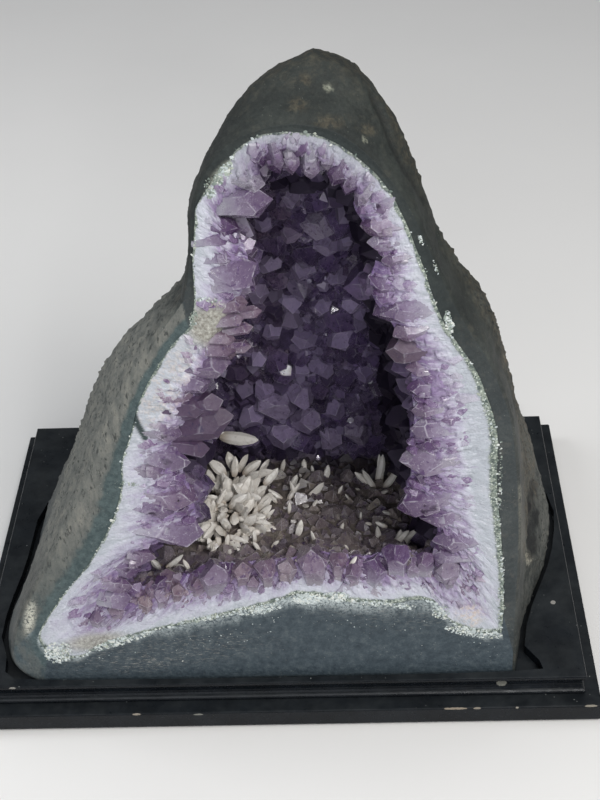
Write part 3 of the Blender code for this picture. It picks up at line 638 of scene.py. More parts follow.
def rock_grid(times, depths):
    loops = [skin_loop(s, times) for s in (SKIN_FRONT, SKIN_122, SKIN_90, SKIN_20, SKIN_REAR_50,
                                           SKIN_REAR_100)]
    loops.append(np.stack([8.0 + (loops[-1][:, 0] - 8.0) * 0.55,
                           GEODE_Z + (loops[-1][:, 1] - GEODE_Z) * 0.55], axis=1))
    rows = []
    for y in depths:
        if y <= 120.0:
            loop = mix_loops(loops, SKIN_DEPTHS, y)
            fade = max(0.0, 1.0 - (y - FRONT_Y) / 110.0)
            yy = y + (loop[:, 1] - TOP_Z1) * LEAN * fade
        else:
            t = (y - 120.0) / 7.0
            k = math.sqrt(max(0.0, 1.0 - t))
            loop = np.array([[REAR_TIP[0], REAR_TIP[2]]]) * (1 - k) + loops[-1] * k
            loop[:, 1] = np.maximum(loop[:, 1], GEODE_Z)
            yy = np.full(len(loop), 120.0 + (REAR_TIP[1] - 120.0) * t)
        rows.append(np.stack([loop[:, 0], yy, loop[:, 1]], axis=1))
    return np.array(rows)


ROCK_TIMES = 12
near = FRONT_Y + np.array([0.0, 0.5, 1.2, 2.2, 3.4, 4.8])
rock_depths = np.concatenate([near, np.linspace(FRONT_Y + 6.6, 118.0, 112),
                              120.0 + 7.0 * np.array([0.0, 0.25, 0.5, 0.72, 0.88, 0.97])])
rock = rock_grid(ROCK_TIMES, rock_depths)
rows, cols = rock.shape[:2]
stretch = np.concatenate([np.full(c * ROCK_TIMES, k + 0.0) + np.arange(c * ROCK_TIMES) / (c * ROCK_TIMES)
                          for k, c in enumerate(SAMPLES)])
rock_normals = grid_normals(rock)
outward = rock - np.array([10.0, 0.0, 150.0])
rock_normals *= np.sign((rock_normals * outward).sum(-1).mean())
P = rock.reshape(-1, 3)
S = np.broadcast_to(stretch, rock.shape[:2]).reshape(-1)
D = np.maximum(P[:, 1] - front_y(P[:, 2]), 0.0)
X, Y, Z = P[:, 0], P[:, 1], P[:, 2]
seen = pixel_of(P)
to_eye = norm(EYE / MM - P)
facing = (Y < 60.0) * smooth(0.0, 0.12, (rock_normals.reshape(-1, 3) * to_eye).sum(1))
rock_tree = BVHTree.FromPolygons([Vector(v) for v in P], grid_faces(rows, cols).tolist())


def drawn(points, line, width, soft=0.6, depth=1.0):
    """1 along a line of the photograph's frame laid on the rock, `width` millimetres to each side.

    depth is how many times wider it is from front to back.
    """
    squash = np.array([1.0, 1.0 / depth, 1.0])
    at = [cast(rock_tree, x, y)[0] for x, y in line]
    at = [a * squash for a in at if a is not None]
    points = points * squash
    far = np.full(len(points), 1e9)
    for a, b in zip(at[:-1], at[1:]):
        t = np.clip(((points - a) @ (b - a)) / ((b - a) @ (b - a)), 0.0, 1.0)
        far = np.minimum(far, np.linalg.norm(points - (a + t[:, None] * (b - a)), axis=1))
    return 1.0 - smooth(width * (1.0 - soft), width * (1.0 + soft), far)

# the crease over the dome, the crevice beside the left rim, the gash on the right
CREASE = [(352, 62), (372, 96), (386, 130), (402, 165), (424, 200), (440, 232)]
CREVICE = [(103, 452), (110, 478), (109, 502), (104, 527)]
GASH = [(531, 484), (529, 520), (527, 556)]
right_of_crease = facing * (S > 3.0) * (S < 5.0) * np.clip(
    (seen[:, 0] - np.interp(seen[:, 1], [p[1] for p in CREASE], [p[0] for p in CREASE])) / 8.0, 0.0, 1.0) \
    * (seen[:, 1] < 236)

# how rough the skin is: sealed and smooth by the rim and on the dome, pebbly elsewhere
wander = layered(P, 40.0, 3, 0.5, 5)
rough_by = np.select(
    [S < 1.0, S < 2.0, S < 3.0, S < 4.0, S < 5.0, S < 6.0],
    [0.22 + 0.78 * smooth(100.0, 190.0, Z + wander * 30.0),
     0.30 + 0.5 * smooth(30.0, 80.0, D), 0.28 + 0.35 * smooth(50.0, 100.0, D),
     0.30 + 0.55 * smooth(50.0, 85.0, D), 0.16 + 0.84 * smooth(16.0, 34.0, D + wander * 8.0),
     0.16 + 0.74 * smooth(26.0, 52.0, D + wander * 8.0)], 0.0)
rough_by = np.where(Y > 20.0, np.maximum(rough_by, smooth(20.0, 50.0, Y) * 0.85), rough_by)
rough_by = np.maximum(rough_by, right_of_crease * 0.75)
f1, f2, who = cells(P, 6.4, 21)
g1, g2, whose = cells(P, 3.8, 22)
knobs = np.clip(1.0 - f1 / 0.62, 0.0, 1.0) ** 0.8 * (0.3 + 0.9 * who)
small_knobs = np.clip(1.0 - g1 / 0.6, 0.0, 1.0) * (0.3 + 0.9 * whose)
lumps = layered(P, 46.0, 3, 0.5, 31) * 1.5 + layered(P, 14.0, 3, 0.6, 41) * 0.8
push = lumps + rough_by * (knobs * 2.2 + small_knobs * 1.3 + layered(P, 5.0, 2, 0.6, 51) * 0.7)
edge = smooth(0.0, 7.0, D)
push = push * (0.25 + 0.75 * edge) - (1.0 - smooth(0.0, 3.2, D)) ** 2 * 1.5
crease = drawn(P, CREASE, 3.2)
crevice = drawn(P, CREVICE, 2.0)
right_flank = facing * (S > 4.0) * (S < 6.0) * (Y < -20.0)
gash = stroke(seen, GASH, 2.4, 0.5) * right_flank
gash_side = stroke(seen, [(519, 488), (520, 512), (522, 538), (526, 560)], 3.0, 0.45) * right_flank
slit = stroke(seen, [(533, 480), (529, 498), (531, 516), (528, 532), (530, 546), (526, 560)], 2.6, 0.5) * right_flank
slit = slit * blob(seen, 529, 522, 10, 42, 0.4) * (0.55 + 0.45 * smooth(-0.3, 0.2, layered(P, 7.0, 2, 0.6, 91)))
lobe = stroke(seen, [(x + 5, y) for x, y in GASH], 3.6, 0.7) * right_flank
push = push - crease * 1.6 - crevice * 3.2 - gash * 1.6 + lobe * 3.6 + right_of_crease * 0.6
foot_fade = np.where(S >= 6.0, 0.0, smooth(29.2, 36.0, Z))
push *= foot_fade
push *= 1.0 - smooth(121.0, 126.0, Y) * 0.6
moved = P + rock_normals.reshape(-1, 3) * push[:, None]
moved[:, 2] = np.maximum(moved[:, 2], GEODE_Z)
moved[:, 1] = np.maximum(moved[:, 1], front_y(moved[:, 2]) + 0.0)

fine_seam = loop_of(SEAM, ROCK_TIMES)
face_rows = 18
face = []
ring0 = moved.reshape(rows, cols, 3)[0]
for k in range(1, face_rows + 1):
    t = k / face_rows
    x = ring0[:, 0] + (fine_seam[:, 0] - ring0[:, 0]) * t
    z = ring0[:, 2] + (fine_seam[:, 1] - ring0[:, 2]) * t
    face.append(np.stack([x, front_y(z), z], axis=1))
face = np.array(face)
FP = face.reshape(-1, 3)
inner = np.repeat(np.arange(1, face_rows + 1) / face_rows, cols)
dent = layered(FP, 22.0, 4, 0.6, 61) * 0.45 + layered(FP, 4.0, 3, 0.6, 71) * 0.22
sag = smooth(0.0, 0.5, np.minimum(inner, 1.0 - inner))
face_push = -np.abs(dent) * sag * 1.2 - 0.3 * sag
FP = FP + np.array([0.0, -1.0, 0.0]) * face_push[:, None]

# pocket behind the sawn face, closed in the rock
pocket = []
deep = loop_of(SEAM_DEEP, ROCK_TIMES)
for d, share in SEAM_NEAR[1:]:
    x = fine_seam[:, 0] + (deep[:, 0] - fine_seam[:, 0]) * share
    z = fine_seam[:, 1] + (deep[:, 1] - fine_seam[:, 1]) * share
    pocket.append(np.stack([x, front_y(z) + d, z], axis=1))
for d, fw, fh, low in SEAM_FAR:
    x = SEAM_END[1] + (deep[:, 0] - SEAM_END[1]) * fw
    z = low + (deep[:, 1] - SEAM_DEEP[6][-1][1]) * fh
    pocket.append(np.stack([x, front_y(z) + d, z], axis=1))
pocket = np.array(pocket)

back_rows = moved.reshape(rows, cols, 3)[::-1]
all_rows = np.concatenate([back_rows, FP.reshape(face_rows, cols, 3), pocket])
tip_a = np.array([REAR_TIP])
tip_b = np.array([(SEAM_END[1], front_y(SEAM_END[2]) + SEAM_END[0], SEAM_END[2])])
rock_verts = np.concatenate([all_rows.reshape(-1, 3), tip_a, tip_b])
rock_faces = [tuple(q) for q in grid_faces(len(all_rows), cols).tolist()]
ia, ib = len(rock_verts) - 2, len(rock_verts) - 1
last = (len(all_rows) - 1) * cols
rock_faces += [(j, ia, (j + 1) % cols) for j in range(cols)]
rock_faces += [(last + j, last + (j + 1) % cols, ib) for j in range(cols)]

# masks, in the order of the rows: skin from the rear to the rim, sawn face, pocket
RP = rock_verts
rock_px = pixel_of(RP)
n_out = rows * cols
is_out = np.arange(len(RP)) < n_out


def skin_rows(values, rest=0.0):
    flipped = values.reshape(rows, cols)[::-1].reshape(-1)
    return np.concatenate([flipped, np.full(len(RP) - n_out, rest)])


S_all = np.concatenate([np.tile(stretch, len(all_rows)), [0.0, 0.0]])
D_all = RP[:, 1] - front_y(RP[:, 2])
w1 = layered(RP, 30.0, 3, 0.5, 81)
w2 = layered(RP, 9.0, 3, 0.5, 82)
front_side = RP[:, 1] < 60.0
left = is_out & (S_all < 1.0)
inner_all = np.concatenate([np.zeros(n_out), inner, np.full(len(RP) - n_out - len(inner), 1.0)])
high = smooth(110.0, 170.0, RP[:, 2] + w1 * 24.0)
left_face = ~is_out & (S_all < 1.0)
dust = np.where(left, (0.35 + 0.65 * high) * (1.0 - 0.75 * smooth(0.86, 1.0, S_all + w2 * 0.06)), 0.0)
dust = np.where(left_face, (0.35 + 0.65 * high) * (1.0 - smooth(0.42, 0.72, inner_all + w2 * 0.16)), dust)
# painted shade: the front of the dome is darkened in colour, as if it caught less light
dome_shade = np.where(is_out | (inner_all < 1.0), smooth(0.9, 1.6, S_all) * (1.0 - smooth(4.1, 4.9, S_all)), 0.0)
dome_shade = dome_shade * (1.0 - smooth(70.0, 120.0, D_all))
dust = np.maximum(dust, np.where(is_out & (S_all >= 1.0) & (S_all < 6.0),
                                 smooth(60.0, 120.0, D_all) * 0.6, 0.0))
dust = np.maximum(dust, np.where(is_out, smooth(30.0, 80.0, RP[:, 1]) * 0.6, 0.0))
dust = np.maximum(dust, np.where(is_out & (S_all >= 4.0) & (S_all < 6.0),
                                 smooth(12.0, 40.0, D_all + w1 * 8.0) * 0.34, 0.0))
smoothness = np.where(is_out, 1.0 - skin_rows(rough_by), 1.0)
brown = np.where(is_out & (S_all >= 2.0) & (S_all < 5.0),
                 0.30 * smooth(10.0, 40.0, D_all) + 0.5 * smooth(28.0, 60.0, D_all), 0.0)
brown = np.maximum(brown, np.where(is_out & (S_all >= 4.0) & (S_all < 5.6), 0.55 * smooth(16, 36, D_all + w1 * 6), 0.0))
brown = np.maximum(brown, skin_rows(right_of_crease) * 0.6)
for px, py, rx, ry in ((297, 105, 9, 8), (303, 80, 8, 6), (330, 122, 15, 6), (368, 130, 9, 5)):
    brown = np.maximum(brown, blob(rock_px, px, py, rx, ry) * front_side * 0.9 * np.where(is_out, skin_rows(facing), 1.0))
brown = np.maximum(brown, skin_rows(drawn(P, CREVICE, 5.0)) * 0.7)
rear = smooth(20.0, 80.0, RP[:, 1]) * is_out
dust = dust * (1.0 - rear) + 0.55 * rear
brown = brown * (1.0 - rear) + 0.22 * rear
front_side = front_side * np.where(is_out, skin_rows(facing), 1.0)
pale = np.maximum(blob(rock_px, 30, 618, 5, 15, 0.6, 8.0), skin_rows(gash_side))
pale = np.maximum(pale, np.maximum(blob(rock_px, 328, 88, 4, 3), blob(rock_px, 365, 140, 2.5, 2))) * front_side
pale = np.maximum(pale, (blob(rock_px, 221, 175, 6, 15, 0.6, 38.0) + blob(rock_px, 210, 194, 5, 8, 0.6, 30.0)) * front_side)
by_seam = smooth(0.80, 0.98, inner_all + w2 * 0.10) * ~is_out * ((S_all >= 6.0) | (S_all < 0.06))
pale = np.clip(np.maximum(pale, by_seam * (0.55 + 0.35 * blob(rock_px, 300, 600, 70, 12, 0.7))), 0.0, 1.0)
stain = np.maximum(blob(rock_px, 150, 664, 34, 6, 0.6, -8.0), blob(rock_px, 165, 652, 95, 15, 0.6, -6.0) * 0.55)
stain = np.maximum(stain, blob(rock_px, 400, 615, 90, 14, 0.6, 6.0) * 0.30) * front_side
# painted shade: the crevice and the slit of the gash in full, the crease in part
crack_shade = skin_rows(crevice) + skin_rows(slit) * 0.92
crack_shade = np.clip(crack_shade + skin_rows(crease) * 0.45, 0, 1)
sawn = (~is_out).astype(float)
low = (S_all >= 5.9) | (S_all < 0.12)
blue = np.clip(sawn * np.where(low, 1.0, 0.25) + (is_out & (S_all < 1.0)) * (1.0 - smooth(40.0, 110.0, RP[:, 2])) * 0.45, 0, 1)
teal = sawn * (S_all < 1.0) * (0.35 + 0.55 * smooth(0.3, 0.7, inner_all + w2 * 0.2))
teal = np.clip(teal + sawn * (S_all >= 3.0) * (S_all < 4.4) * 0.12 * inner_all, 0, 1)
# where the painted shade of the crust's pits goes
pit_shade = np.where(is_out & (S_all >= 4.0) & (S_all < 6.0), smooth(14.0, 34.0, D_all), 0.0)
pit_shade = np.maximum(pit_shade, np.where(is_out & (S_all < 1.0), smooth(12.0, 40.0, D_all) * 0.5, 0.0))

basalt = rock_material()
rind = piece_of("geode_rock", rock_verts, rock_faces, basalt, True,
                {"marks": np.stack([dust, smoothness, brown], axis=1),
                 "spots": np.stack([pale, stain, crack_shade, dome_shade], axis=1),
                 "tint": np.stack([blue, teal, pit_shade], axis=1)})
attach(rind, "root")
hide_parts("basalt_rind")


# ----------------------------------------------------------------- quartz: rim and hollow
LINE_TIMES = 18
seam_loop = loop_of(SEAM, LINE_TIMES)
mouth_loop = loop_of(MOUTH, LINE_TIMES)
rear_loop = loop_of(REAR_WALL, LINE_TIMES)
LN = len(seam_loop)
column = np.concatenate([np.full(c * LINE_TIMES, k + 0.0) + np.arange(c * LINE_TIMES) / (c * LINE_TIMES)
                         for k, c in enumerate(SAMPLES)])


def hollow(share):
    """A ring of the hollow's wall: 0 at the mouth, 1 at the rear wall, 2 at its middle."""
    if share <= 1.0:
        x, z = mouth_loop[:, 0], mouth_loop[:, 1]
        rx, rz = rear_loop[:, 0], rear_loop[:, 1]
        sink, turn = min(1.0, share / 0.2), share ** 1.4
        low_ = np.clip((185.0 - z) / 60.0, 0.0, 1.0)
        zz = z + (FLOOR_Z + (z - 130.0) * 0.2 - z) * low_ * sink
        xx = x + (rx - x) * turn
        zz = zz + (rz - zz) * turn
        y0 = front_y(zz) + 6.0 * min(1.0, share / 0.1)
        y1 = HOLLOW_REAR_Y + (zz - FLOOR_Z) * HOLLOW_REAR_LEAN
        return np.stack([xx, y0 + (y1 - y0) * share, zz], axis=1)
    k = 2.0 - share
    x = REAR_AXIS[0] + (rear_loop[:, 0] - REAR_AXIS[0]) * k
    z = REAR_AXIS[1] + (rear_loop[:, 1] - REAR_AXIS[1]) * k
    y = HOLLOW_REAR_Y + (z - FLOOR_Z) * HOLLOW_REAR_LEAN + 12.0 * (1.0 - k * k)
    return np.stack([x, y, z], axis=1)


wall_shares = np.concatenate([np.linspace(0.05, 1.0, 26), np.linspace(1.0, 2.0, 10)[1:-1]])
wall = np.array([hollow(s) for s in wall_shares])

to_mouth = mouth_loop - seam_loop
rim_width = np.linalg.norm(to_mouth, axis=1)
step_run = np.linalg.norm(np.roll(seam_loop, -1, axis=0) - seam_loop, axis=1)
seam_run = np.concatenate([[0.0], np.cumsum(step_run)])
ROUND = seam_run[-1] / (2.0 * math.pi)
turn_at = seam_run[:-1] / ROUND

band_t = np.concatenate([np.linspace(0.0, 0.12, 8)[:-1], np.linspace(0.12, 1.0, 44)])
t_ = band_t[:, None]
band_x = seam_loop[:, 0] + to_mouth[:, 0] * t_
band_z = seam_loop[:, 1] + to_mouth[:, 1] * t_
band_v = rim_width * t_
flow = np.stack([np.broadcast_to(ROUND * np.cos(turn_at), band_x.shape),
                 np.broadcast_to(ROUND * np.sin(turn_at), band_x.shape), band_v], axis=-1)
Q = flow.reshape(-1, 3)
stretched = Q * np.array([1.0, 1.0, 0.24])
ribs = layered(stretched, 2.6, 3, 0.6, 101)
swell = layered(Q, 17.0, 3, 0.5, 111)
broken = shards(Q * np.array([1.0, 1.0, 0.55]), 6.0, 121, 0.32) + shards(Q * np.array([1.0, 1.0, 0.7]), 3.1, 131, 0.30)
c1, c2, cw = cells(Q, 2.3, 141)
crust_wide = np.interp(column, [0.0, 0.3, 0.5, 0.9, 1.0, 2.0, 3.0, 4.0, 4.6, 5.0, 6.0, 6.2, 7.0, 8.0],
                       [3.2, 2.6, 1.4, 1.2, 1.2, 1.4, 1.8, 2.4, 4.5, 6.0, 6.0, 5.0, 4.2, 3.8])
crust = 1.0 - smooth(0.75, 1.1, (band_v + layered(Q, 5.0, 2, 0.5, 151).reshape(band_x.shape) * 1.6) / crust_wide)
T = np.broadcast_to(t_, band_x.shape).reshape(-1)
V = band_v.reshape(-1)
band_px = pixel_of(np.stack([band_x, front_y(band_z), band_z], axis=-1).reshape(-1, 3))
# matte and milky places where no crystals stand
matte = blob(band_px, 211, 326, 24, 21, 0.45)
matte = np.maximum(matte, blob(band_px, 95, 640, 30, 9, 0.5, -8.0))
matte = np.maximum(matte, blob(band_px, 470, 617, 13, 11, 0.5))
relief = ribs * 0.55 + swell * 1.1 * smooth(0.02, 0.25, T) + broken * (0.20 + 0.80 * smooth(0.10, 0.55, T)) \
    * (1.0 - 0.7 * matte)
relief = relief + np.clip(1.0 - c1 / 0.6, 0, 1) * 1.3 * crust.reshape(-1)
relief = relief * smooth(0.0, 2.0, V) - 5.5 * smooth(0.62, 1.0, T) ** 1.5 - 0.25 - 0.6 * T
relief = np.minimum(relief, 2.2)
band = np.stack([band_x, front_y(band_z), band_z], axis=-1)
band[..., 1] -= relief.reshape(band_x.shape)
shell = np.concatenate([band, wall])
SN = shell.reshape(-1, 3)
rest_shell = np.concatenate([np.stack([band_x, front_y(band_z) + 0.3 + 5.5 * smooth(0.62, 1.0, t_) ** 1.5, band_z],
                                      axis=-1), wall])
normals = grid_normals(rest_shell)
centre_line = np.stack([np.full(shell.shape[:2], 15.0), shell[..., 1], shell[..., 2] * 0 + 250.0], axis=-1)
toward = centre_line - rest_shell
toward[..., 1] = -40.0
flip = np.sign((normals * toward).sum(-1))
shell_normals = normals * np.where(flip == 0, 1.0, flip)[..., None]
shell_tree = BVHTree.FromPolygons([Vector(v) for v in rest_shell.reshape(-1, 3)],
                                  grid_faces(len(shell), LN).tolist())


# ----------------------------------------------------------------- crystals
TRIPLES = {}


def convex(normal, dist):
    """Corners and faces of the body where normal . x <= dist for every plane."""
    k = len(dist)
    if k not in TRIPLES:
        TRIPLES[k] = np.array(list(itertools.combinations(range(k), 3)))
    tri = TRIPLES[k]
    a, b, c = normal[tri[:, 0]], normal[tri[:, 1]], normal[tri[:, 2]]
    bc, ca, ab = np.cross(b, c), np.cross(c, a), np.cross(a, b)
    det = (a * bc).sum(1)
    ok = np.abs(det) > 1e-5
    d = dist[tri]
    pts = (d[ok, 0:1] * bc[ok] + d[ok, 1:2] * ca[ok] + d[ok, 2:3] * ab[ok]) / det[ok, None]
    off = pts @ normal.T - dist
    pts = pts[(off <= 1e-5).all(1)]
    if len(pts) < 4:
        return None, None
    pts = np.unique(np.round(pts, 4), axis=0)
    keep = [0]
    for i in range(1, len(pts)):
        if (np.abs(pts[keep] - pts[i]).max(1) > 2e-3).all():
            keep.append(i)
    pts = pts[keep]
    off = np.abs(pts @ normal.T - dist)
    faces = []
    for i in range(k):
        idx = np.nonzero(off[:, i] < 2e-3)[0]
        if len(idx) < 3:
            continue
        q = pts[idx] - pts[idx].mean(0)
        n = normal[i]
        u = np.cross(n, (1.0, 0.0, 0.0) if abs(n[0]) < 0.8 else (0.0, 1.0, 0.0))
        u /= np.linalg.norm(u)
        v = np.cross(n, u)
        order = np.argsort(np.arctan2(q @ v, q @ u))
        faces.append(idx[order])
    return pts, faces


SLOPE = math.radians(51.8)          # lean of a quartz point's faces


class Cluster:
    """Many crystals gathered into one mesh."""

    def __init__(self):
        self.verts, self.faces, self.paint, self.tone, self.count = [], [], [], [], 0

    def crystal(self, rng, foot, axis, wide, long, zone=0.5, flat=0.18, clip=None, tone=(0.0, 0.0, 0.0),
                fan=None, mirror=None, shade=None, lean=None, span=None):
        """One quartz crystal: prism and point, growing from its foot along its axis.

        mirror turns it so that one face of its point looks along that direction, lean is how much
        its sides close in (degrees) and span gives the tones at its foot and its tip.
        """
        axis = norm(np.asarray(axis, float))
        help_ = np.array([0.0, 0.0, 1.0]) if abs(axis[2]) < 0.9 else np.array([1.0, 0.0, 0.0])
        u = norm(np.cross(help_, axis))
        v = np.cross(axis, u)
        spin = rng.uniform(0, math.pi / 3)
        slope = SLOPE + rng.uniform(-0.03, 0.03)
        if mirror is not None:
            spin, slope = math.atan2(float(mirror @ v), float(mirror @ u)), SLOPE
        press = rng.uniform(0, math.pi)
        ang = spin + np.arange(6) * math.pi / 3
        rad = wide * (1.0 + flat * np.cos(2 * (ang - press)) + rng.uniform(-0.12, 0.12, 6))
        lean = math.radians(rng.uniform(1.0, 5.0) if lean is None else lean)
        side_n = np.stack([np.cos(ang) * math.cos(lean), np.sin(ang) * math.cos(lean),
                           np.full(6, math.sin(lean))], axis=1)
        side_d = rad * math.cos(lean) + long * 0.35 * math.sin(lean)
        tip_n = np.stack([np.cos(ang) * math.sin(slope), np.sin(ang) * math.sin(slope),
                          np.full(6, math.cos(slope))], axis=1)
        strong = np.where(np.arange(6) % 2 == rng.integers(0, 2), rng.uniform(0.0, 0.12, 6),
                          rng.uniform(0.10, 0.55, 6))
        if mirror is not None:
            strong[0] = 0.0
        tip_d = long * math.cos(slope) + strong * wide
        local_n = np.concatenate([side_n, tip_n, [[0.0, 0.0, -1.0]]])
        local_d = np.concatenate([side_d, tip_d, [0.0]])
        world_n = local_n @ np.stack([u, v, axis])
        world_d = local_d + world_n @ foot
        if clip is not None:
            world_n = np.concatenate([world_n, [c[0] for c in clip]])
            world_d = np.concatenate([world_d, [c[1] for c in clip]])
        pts, faces = convex(world_n, world_d)
        if pts is None or len(faces) < 4:
            return False
        shade = rng.uniform() if shade is None else shade
        base = self.count
        if fan is None:
            fan = wide > 2.6
        # 1 on the facet edges, 0 at the face middles: the mask of the painted edge highlight
        rim_ = np.ones(len(pts))
        if fan:
            mids = np.array([pts[f].mean(0) for f in faces])
            for k, f in enumerate(faces):
                c = base + len(pts) + k
                self.faces.extend((c, base + int(f[i]), base + int(f[(i + 1) % len(f)])) for i in range(len(f)))
            pts = np.concatenate([pts, mids])
            rim_ = np.concatenate([rim_, np.zeros(len(mids))])
        else:
            self.faces.extend(tuple(int(i) + base for i in f) for f in faces)
            rim_ *= 0.6
        s = np.clip((pts - foot) @ axis / long, 0.0, 1.0)
        if span is not None:
            s = span[0] + (span[1] - span[0]) * s
        self.verts.append(pts)
        self.paint.append(np.stack([s, np.full(len(pts), shade), np.full(len(pts), zone), rim_], axis=1))
        self.tone.append(np.tile(np.asarray(tone, float), (len(pts), 1)))
        self.count += len(pts)
        return True

    def make(self, name, material):
        return piece_of(name, np.concatenate(self.verts), self.faces, material, False,
                        {"grow": np.concatenate(self.paint), "tone": np.concatenate(self.tone)})


def amethyst_material(name, transmission, rough, body, depth_colour, density, veils, facets=0.22, deep=False,
                      earth=((0.155, 0.126, 0.104), (0.34, 0.295, 0.255)), gleam=0.5):
    p = Paint(name)
    _, along, shade, zone = p.layer("grow")
    outline = p.alpha("grow")
    # the third channel of tone is painted shade
    _, brown, milky, dim = p.layer("tone")
    wob = p.math('MULTIPLY', p.math('SUBTRACT', p.noise(4.0, 4.0, 0.65), 0.5), 0.60)
    jig = p.math('MULTIPLY', p.math('SUBTRACT', shade, 0.5), 0.42)
    s = p.math('ADD', p.math('ADD', along, wob), jig, clamp=True)
    colour = p.mix(p.ramp(s, body[0]), p.ramp(s, body[1]), zone)
    colour = p.mix(colour, p.ramp(p.noise(5.0, 5.0, 0.7), [(0.35, earth[0]), (0.65, earth[1])]), brown)
    colour = p.mix(colour, (0.44, 0.40, 0.49), p.math('MULTIPLY', milky, p.span(p.noise(6.0, 3.0), 0.3, 0.6, 0.6, 1.0)))
    colour = p.mix(colour, (0.050, 0.030, 0.085), p.math('MULTIPLY', p.span(shade, 0.75, 0.0, 0.0, 0.80), zone))
    # cloudy veils and healed fractures inside the stone
    veil = p.span(p.noise(2.6, 6.0, 0.75, 1.2), 0.54, 0.70)
    colour = p.mix(colour, (0.80, 0.77, 0.84), p.math('MULTIPLY', veil, p.span(zone, 0.0, 1.0, veils[0], veils[1])))
    if deep:
        murk = p.span(p.noise(9.0, 4.0, 0.65, 0.8), 0.44, 0.62)
        colour = p.mix(colour, (0.11, 0.085, 0.15), p.math('MULTIPLY', murk, 0.50))
    core = p.span(p.noise(4.2, 5.0, 0.68, 0.6), 0.54, 0.66)
    colour = p.mix(colour, p.mix((0.115, 0.055, 0.17), (0.045, 0.030, 0.10), zone),
                   p.math('MULTIPLY', core, p.span(s, 0.22, 0.62, 0.12, 0.80)))
    if deep:
        colour = p.mix(colour, (0.50, 0.43, 0.62), p.math('MULTIPLY', p.span(shade, 0.66, 1.0, 0.0, 0.66), zone))
    # worn edges catch a thin pale line
    # painted highlight: a thin pale line along the facet edges, as if the edges caught the light
    line = p.math('MULTIPLY', p.span(outline, 0.86, 1.0), p.span(p.noise(7.0, 3.0, 0.6), 0.45, 0.62))
    colour = p.mix(colour, (0.80, 0.77, 0.86), p.math('MULTIPLY', line, p.span(zone, 0.0, 1.0, 0.60, 0.30)))
    # painted shade: crystals of shaded places are mixed toward near black and made rougher
    colour = p.mix(colour, (0.010, 0.007, 0.016), dim)
    p.set("Base Color", colour)
    p.set("Roughness", p.math('ADD', p.span(p.noise(2.6, 4.0, 0.7), 0.35, 0.7, rough, rough + 0.18),
                              p.math('MULTIPLY', dim, 0.38), clamp=True))
    p.set("Transmission Weight", transmission)
    p.set("IOR", 1.544)
    p.set("Specular IOR Level", gleam)
    p.set("Normal", p.bump(p.noise(2.8, 4.0, 0.62), 0.6, facets))
    inside = p.add("ShaderNodeVolumeAbsorption")
    inside.inputs["Color"].default_value = (*depth_colour, 1.0)
    inside.inputs["Density"].default_value = density
    p.tree.links.new(inside.outputs[0], p.out.inputs["Volume"])
    return p.mat


RIM_BODY = ([(0.0, (0.58, 0.59, 0.65)), (0.28, (0.52, 0.50, 0.59)), (0.50, (0.345, 0.275, 0.415)),
             (0.75, (0.180, 0.113, 0.228)), (1.0, (0.120, 0.066, 0.160))],
            [(0.0, (0.25, 0.17, 0.30)), (0.35, (0.16, 0.090, 0.20)), (0.7, (0.100, 0.050, 0.128)),
             (1.0, (0.075, 0.036, 0.098))])
DEEP_BODY = ([(0.0, (0.50, 0.42, 0.58)), (0.4, (0.38, 0.28, 0.47)), (1.0, (0.28, 0.185, 0.36))],
             [(0.0, (0.40, 0.33, 0.51)), (0.5, (0.265, 0.19, 0.385)), (1.0, (0.19, 0.125, 0.30))])
FLOOR_BODY = ([(0.0, (0.38, 0.32, 0.36)), (0.5, (0.29, 0.22, 0.29)), (1.0, (0.23, 0.16, 0.245))],
              [(0.0, (0.25, 0.205, 0.24)), (0.5, (0.185, 0.14, 0.18)), (1.0, (0.14, 0.10, 0.15))])

rim_quartz = amethyst_material("amethyst_rim", 0.34, 0.10, RIM_BODY, (0.74, 0.62, 0.84), 12.0, (0.60, 0.12), 0.40,
                                earth=((0.21, 0.135, 0.145), (0.52, 0.42, 0.43)))
plum_quartz = amethyst_material("amethyst_plum", 0.22, 0.36, RIM_BODY, (0.74, 0.58, 0.76), 14.0, (0.40, 0.10), 0.60,
                                 earth=((0.17, 0.10, 0.115), (0.36, 0.25, 0.27)))
milky_quartz = amethyst_material("amethyst_milky", 0.12, 0.20, RIM_BODY, (0.80, 0.72, 0.88), 8.0, (0.60, 0.2), 0.55,
                                  earth=((0.23, 0.15, 0.155), (0.54, 0.44, 0.44)))
WARM = ((0.15, 0.095, 0.125), (0.37, 0.28, 0.33))
deep_quartz = amethyst_material("amethyst_deep", 0.50, 0.03, DEEP_BODY, (0.60, 0.44, 0.72), 40.0, (0.25, 0.30), 0.36, True,
                                WARM)
large_quartz = amethyst_material("amethyst_large", 0.28, 0.04, DEEP_BODY, (0.64, 0.50, 0.74), 25.0, (0.25, 0.30), 0.30, True,
                                 WARM)
# painted shade: a dull, dark copy of the hollow's quartz, with little transmission and a low specular level, for
# crystals in shade
shade_quartz = amethyst_material("amethyst_shade", 0.10, 0.20, DEEP_BODY, (0.50, 0.36, 0.62), 60.0, (0.1, 0.1), 0.36, True,
                                 WARM, 0.10)
floor_quartz = amethyst_material("amethyst_floor", 0.30, 0.14, FLOOR_BODY, (0.72, 0.66, 0.66), 20.0, (0.3, 0.2))

SAW = norm(np.array([0.0, -1.0, LEAN]))
EYE_MM = EYE / MM
taken_p, taken_r = np.zeros((0, 3)), np.zeros(0)


def take(p, r):
    global taken_p, taken_r
    taken_p = np.concatenate([taken_p, [p]])
    taken_r = np.concatenate([taken_r, [r]])


def free(p, r, spacing):
    if not len(taken_p):
        return True
    d = np.linalg.norm(taken_p - p, axis=1)
    return bool((d > (taken_r + r) * spacing).all())


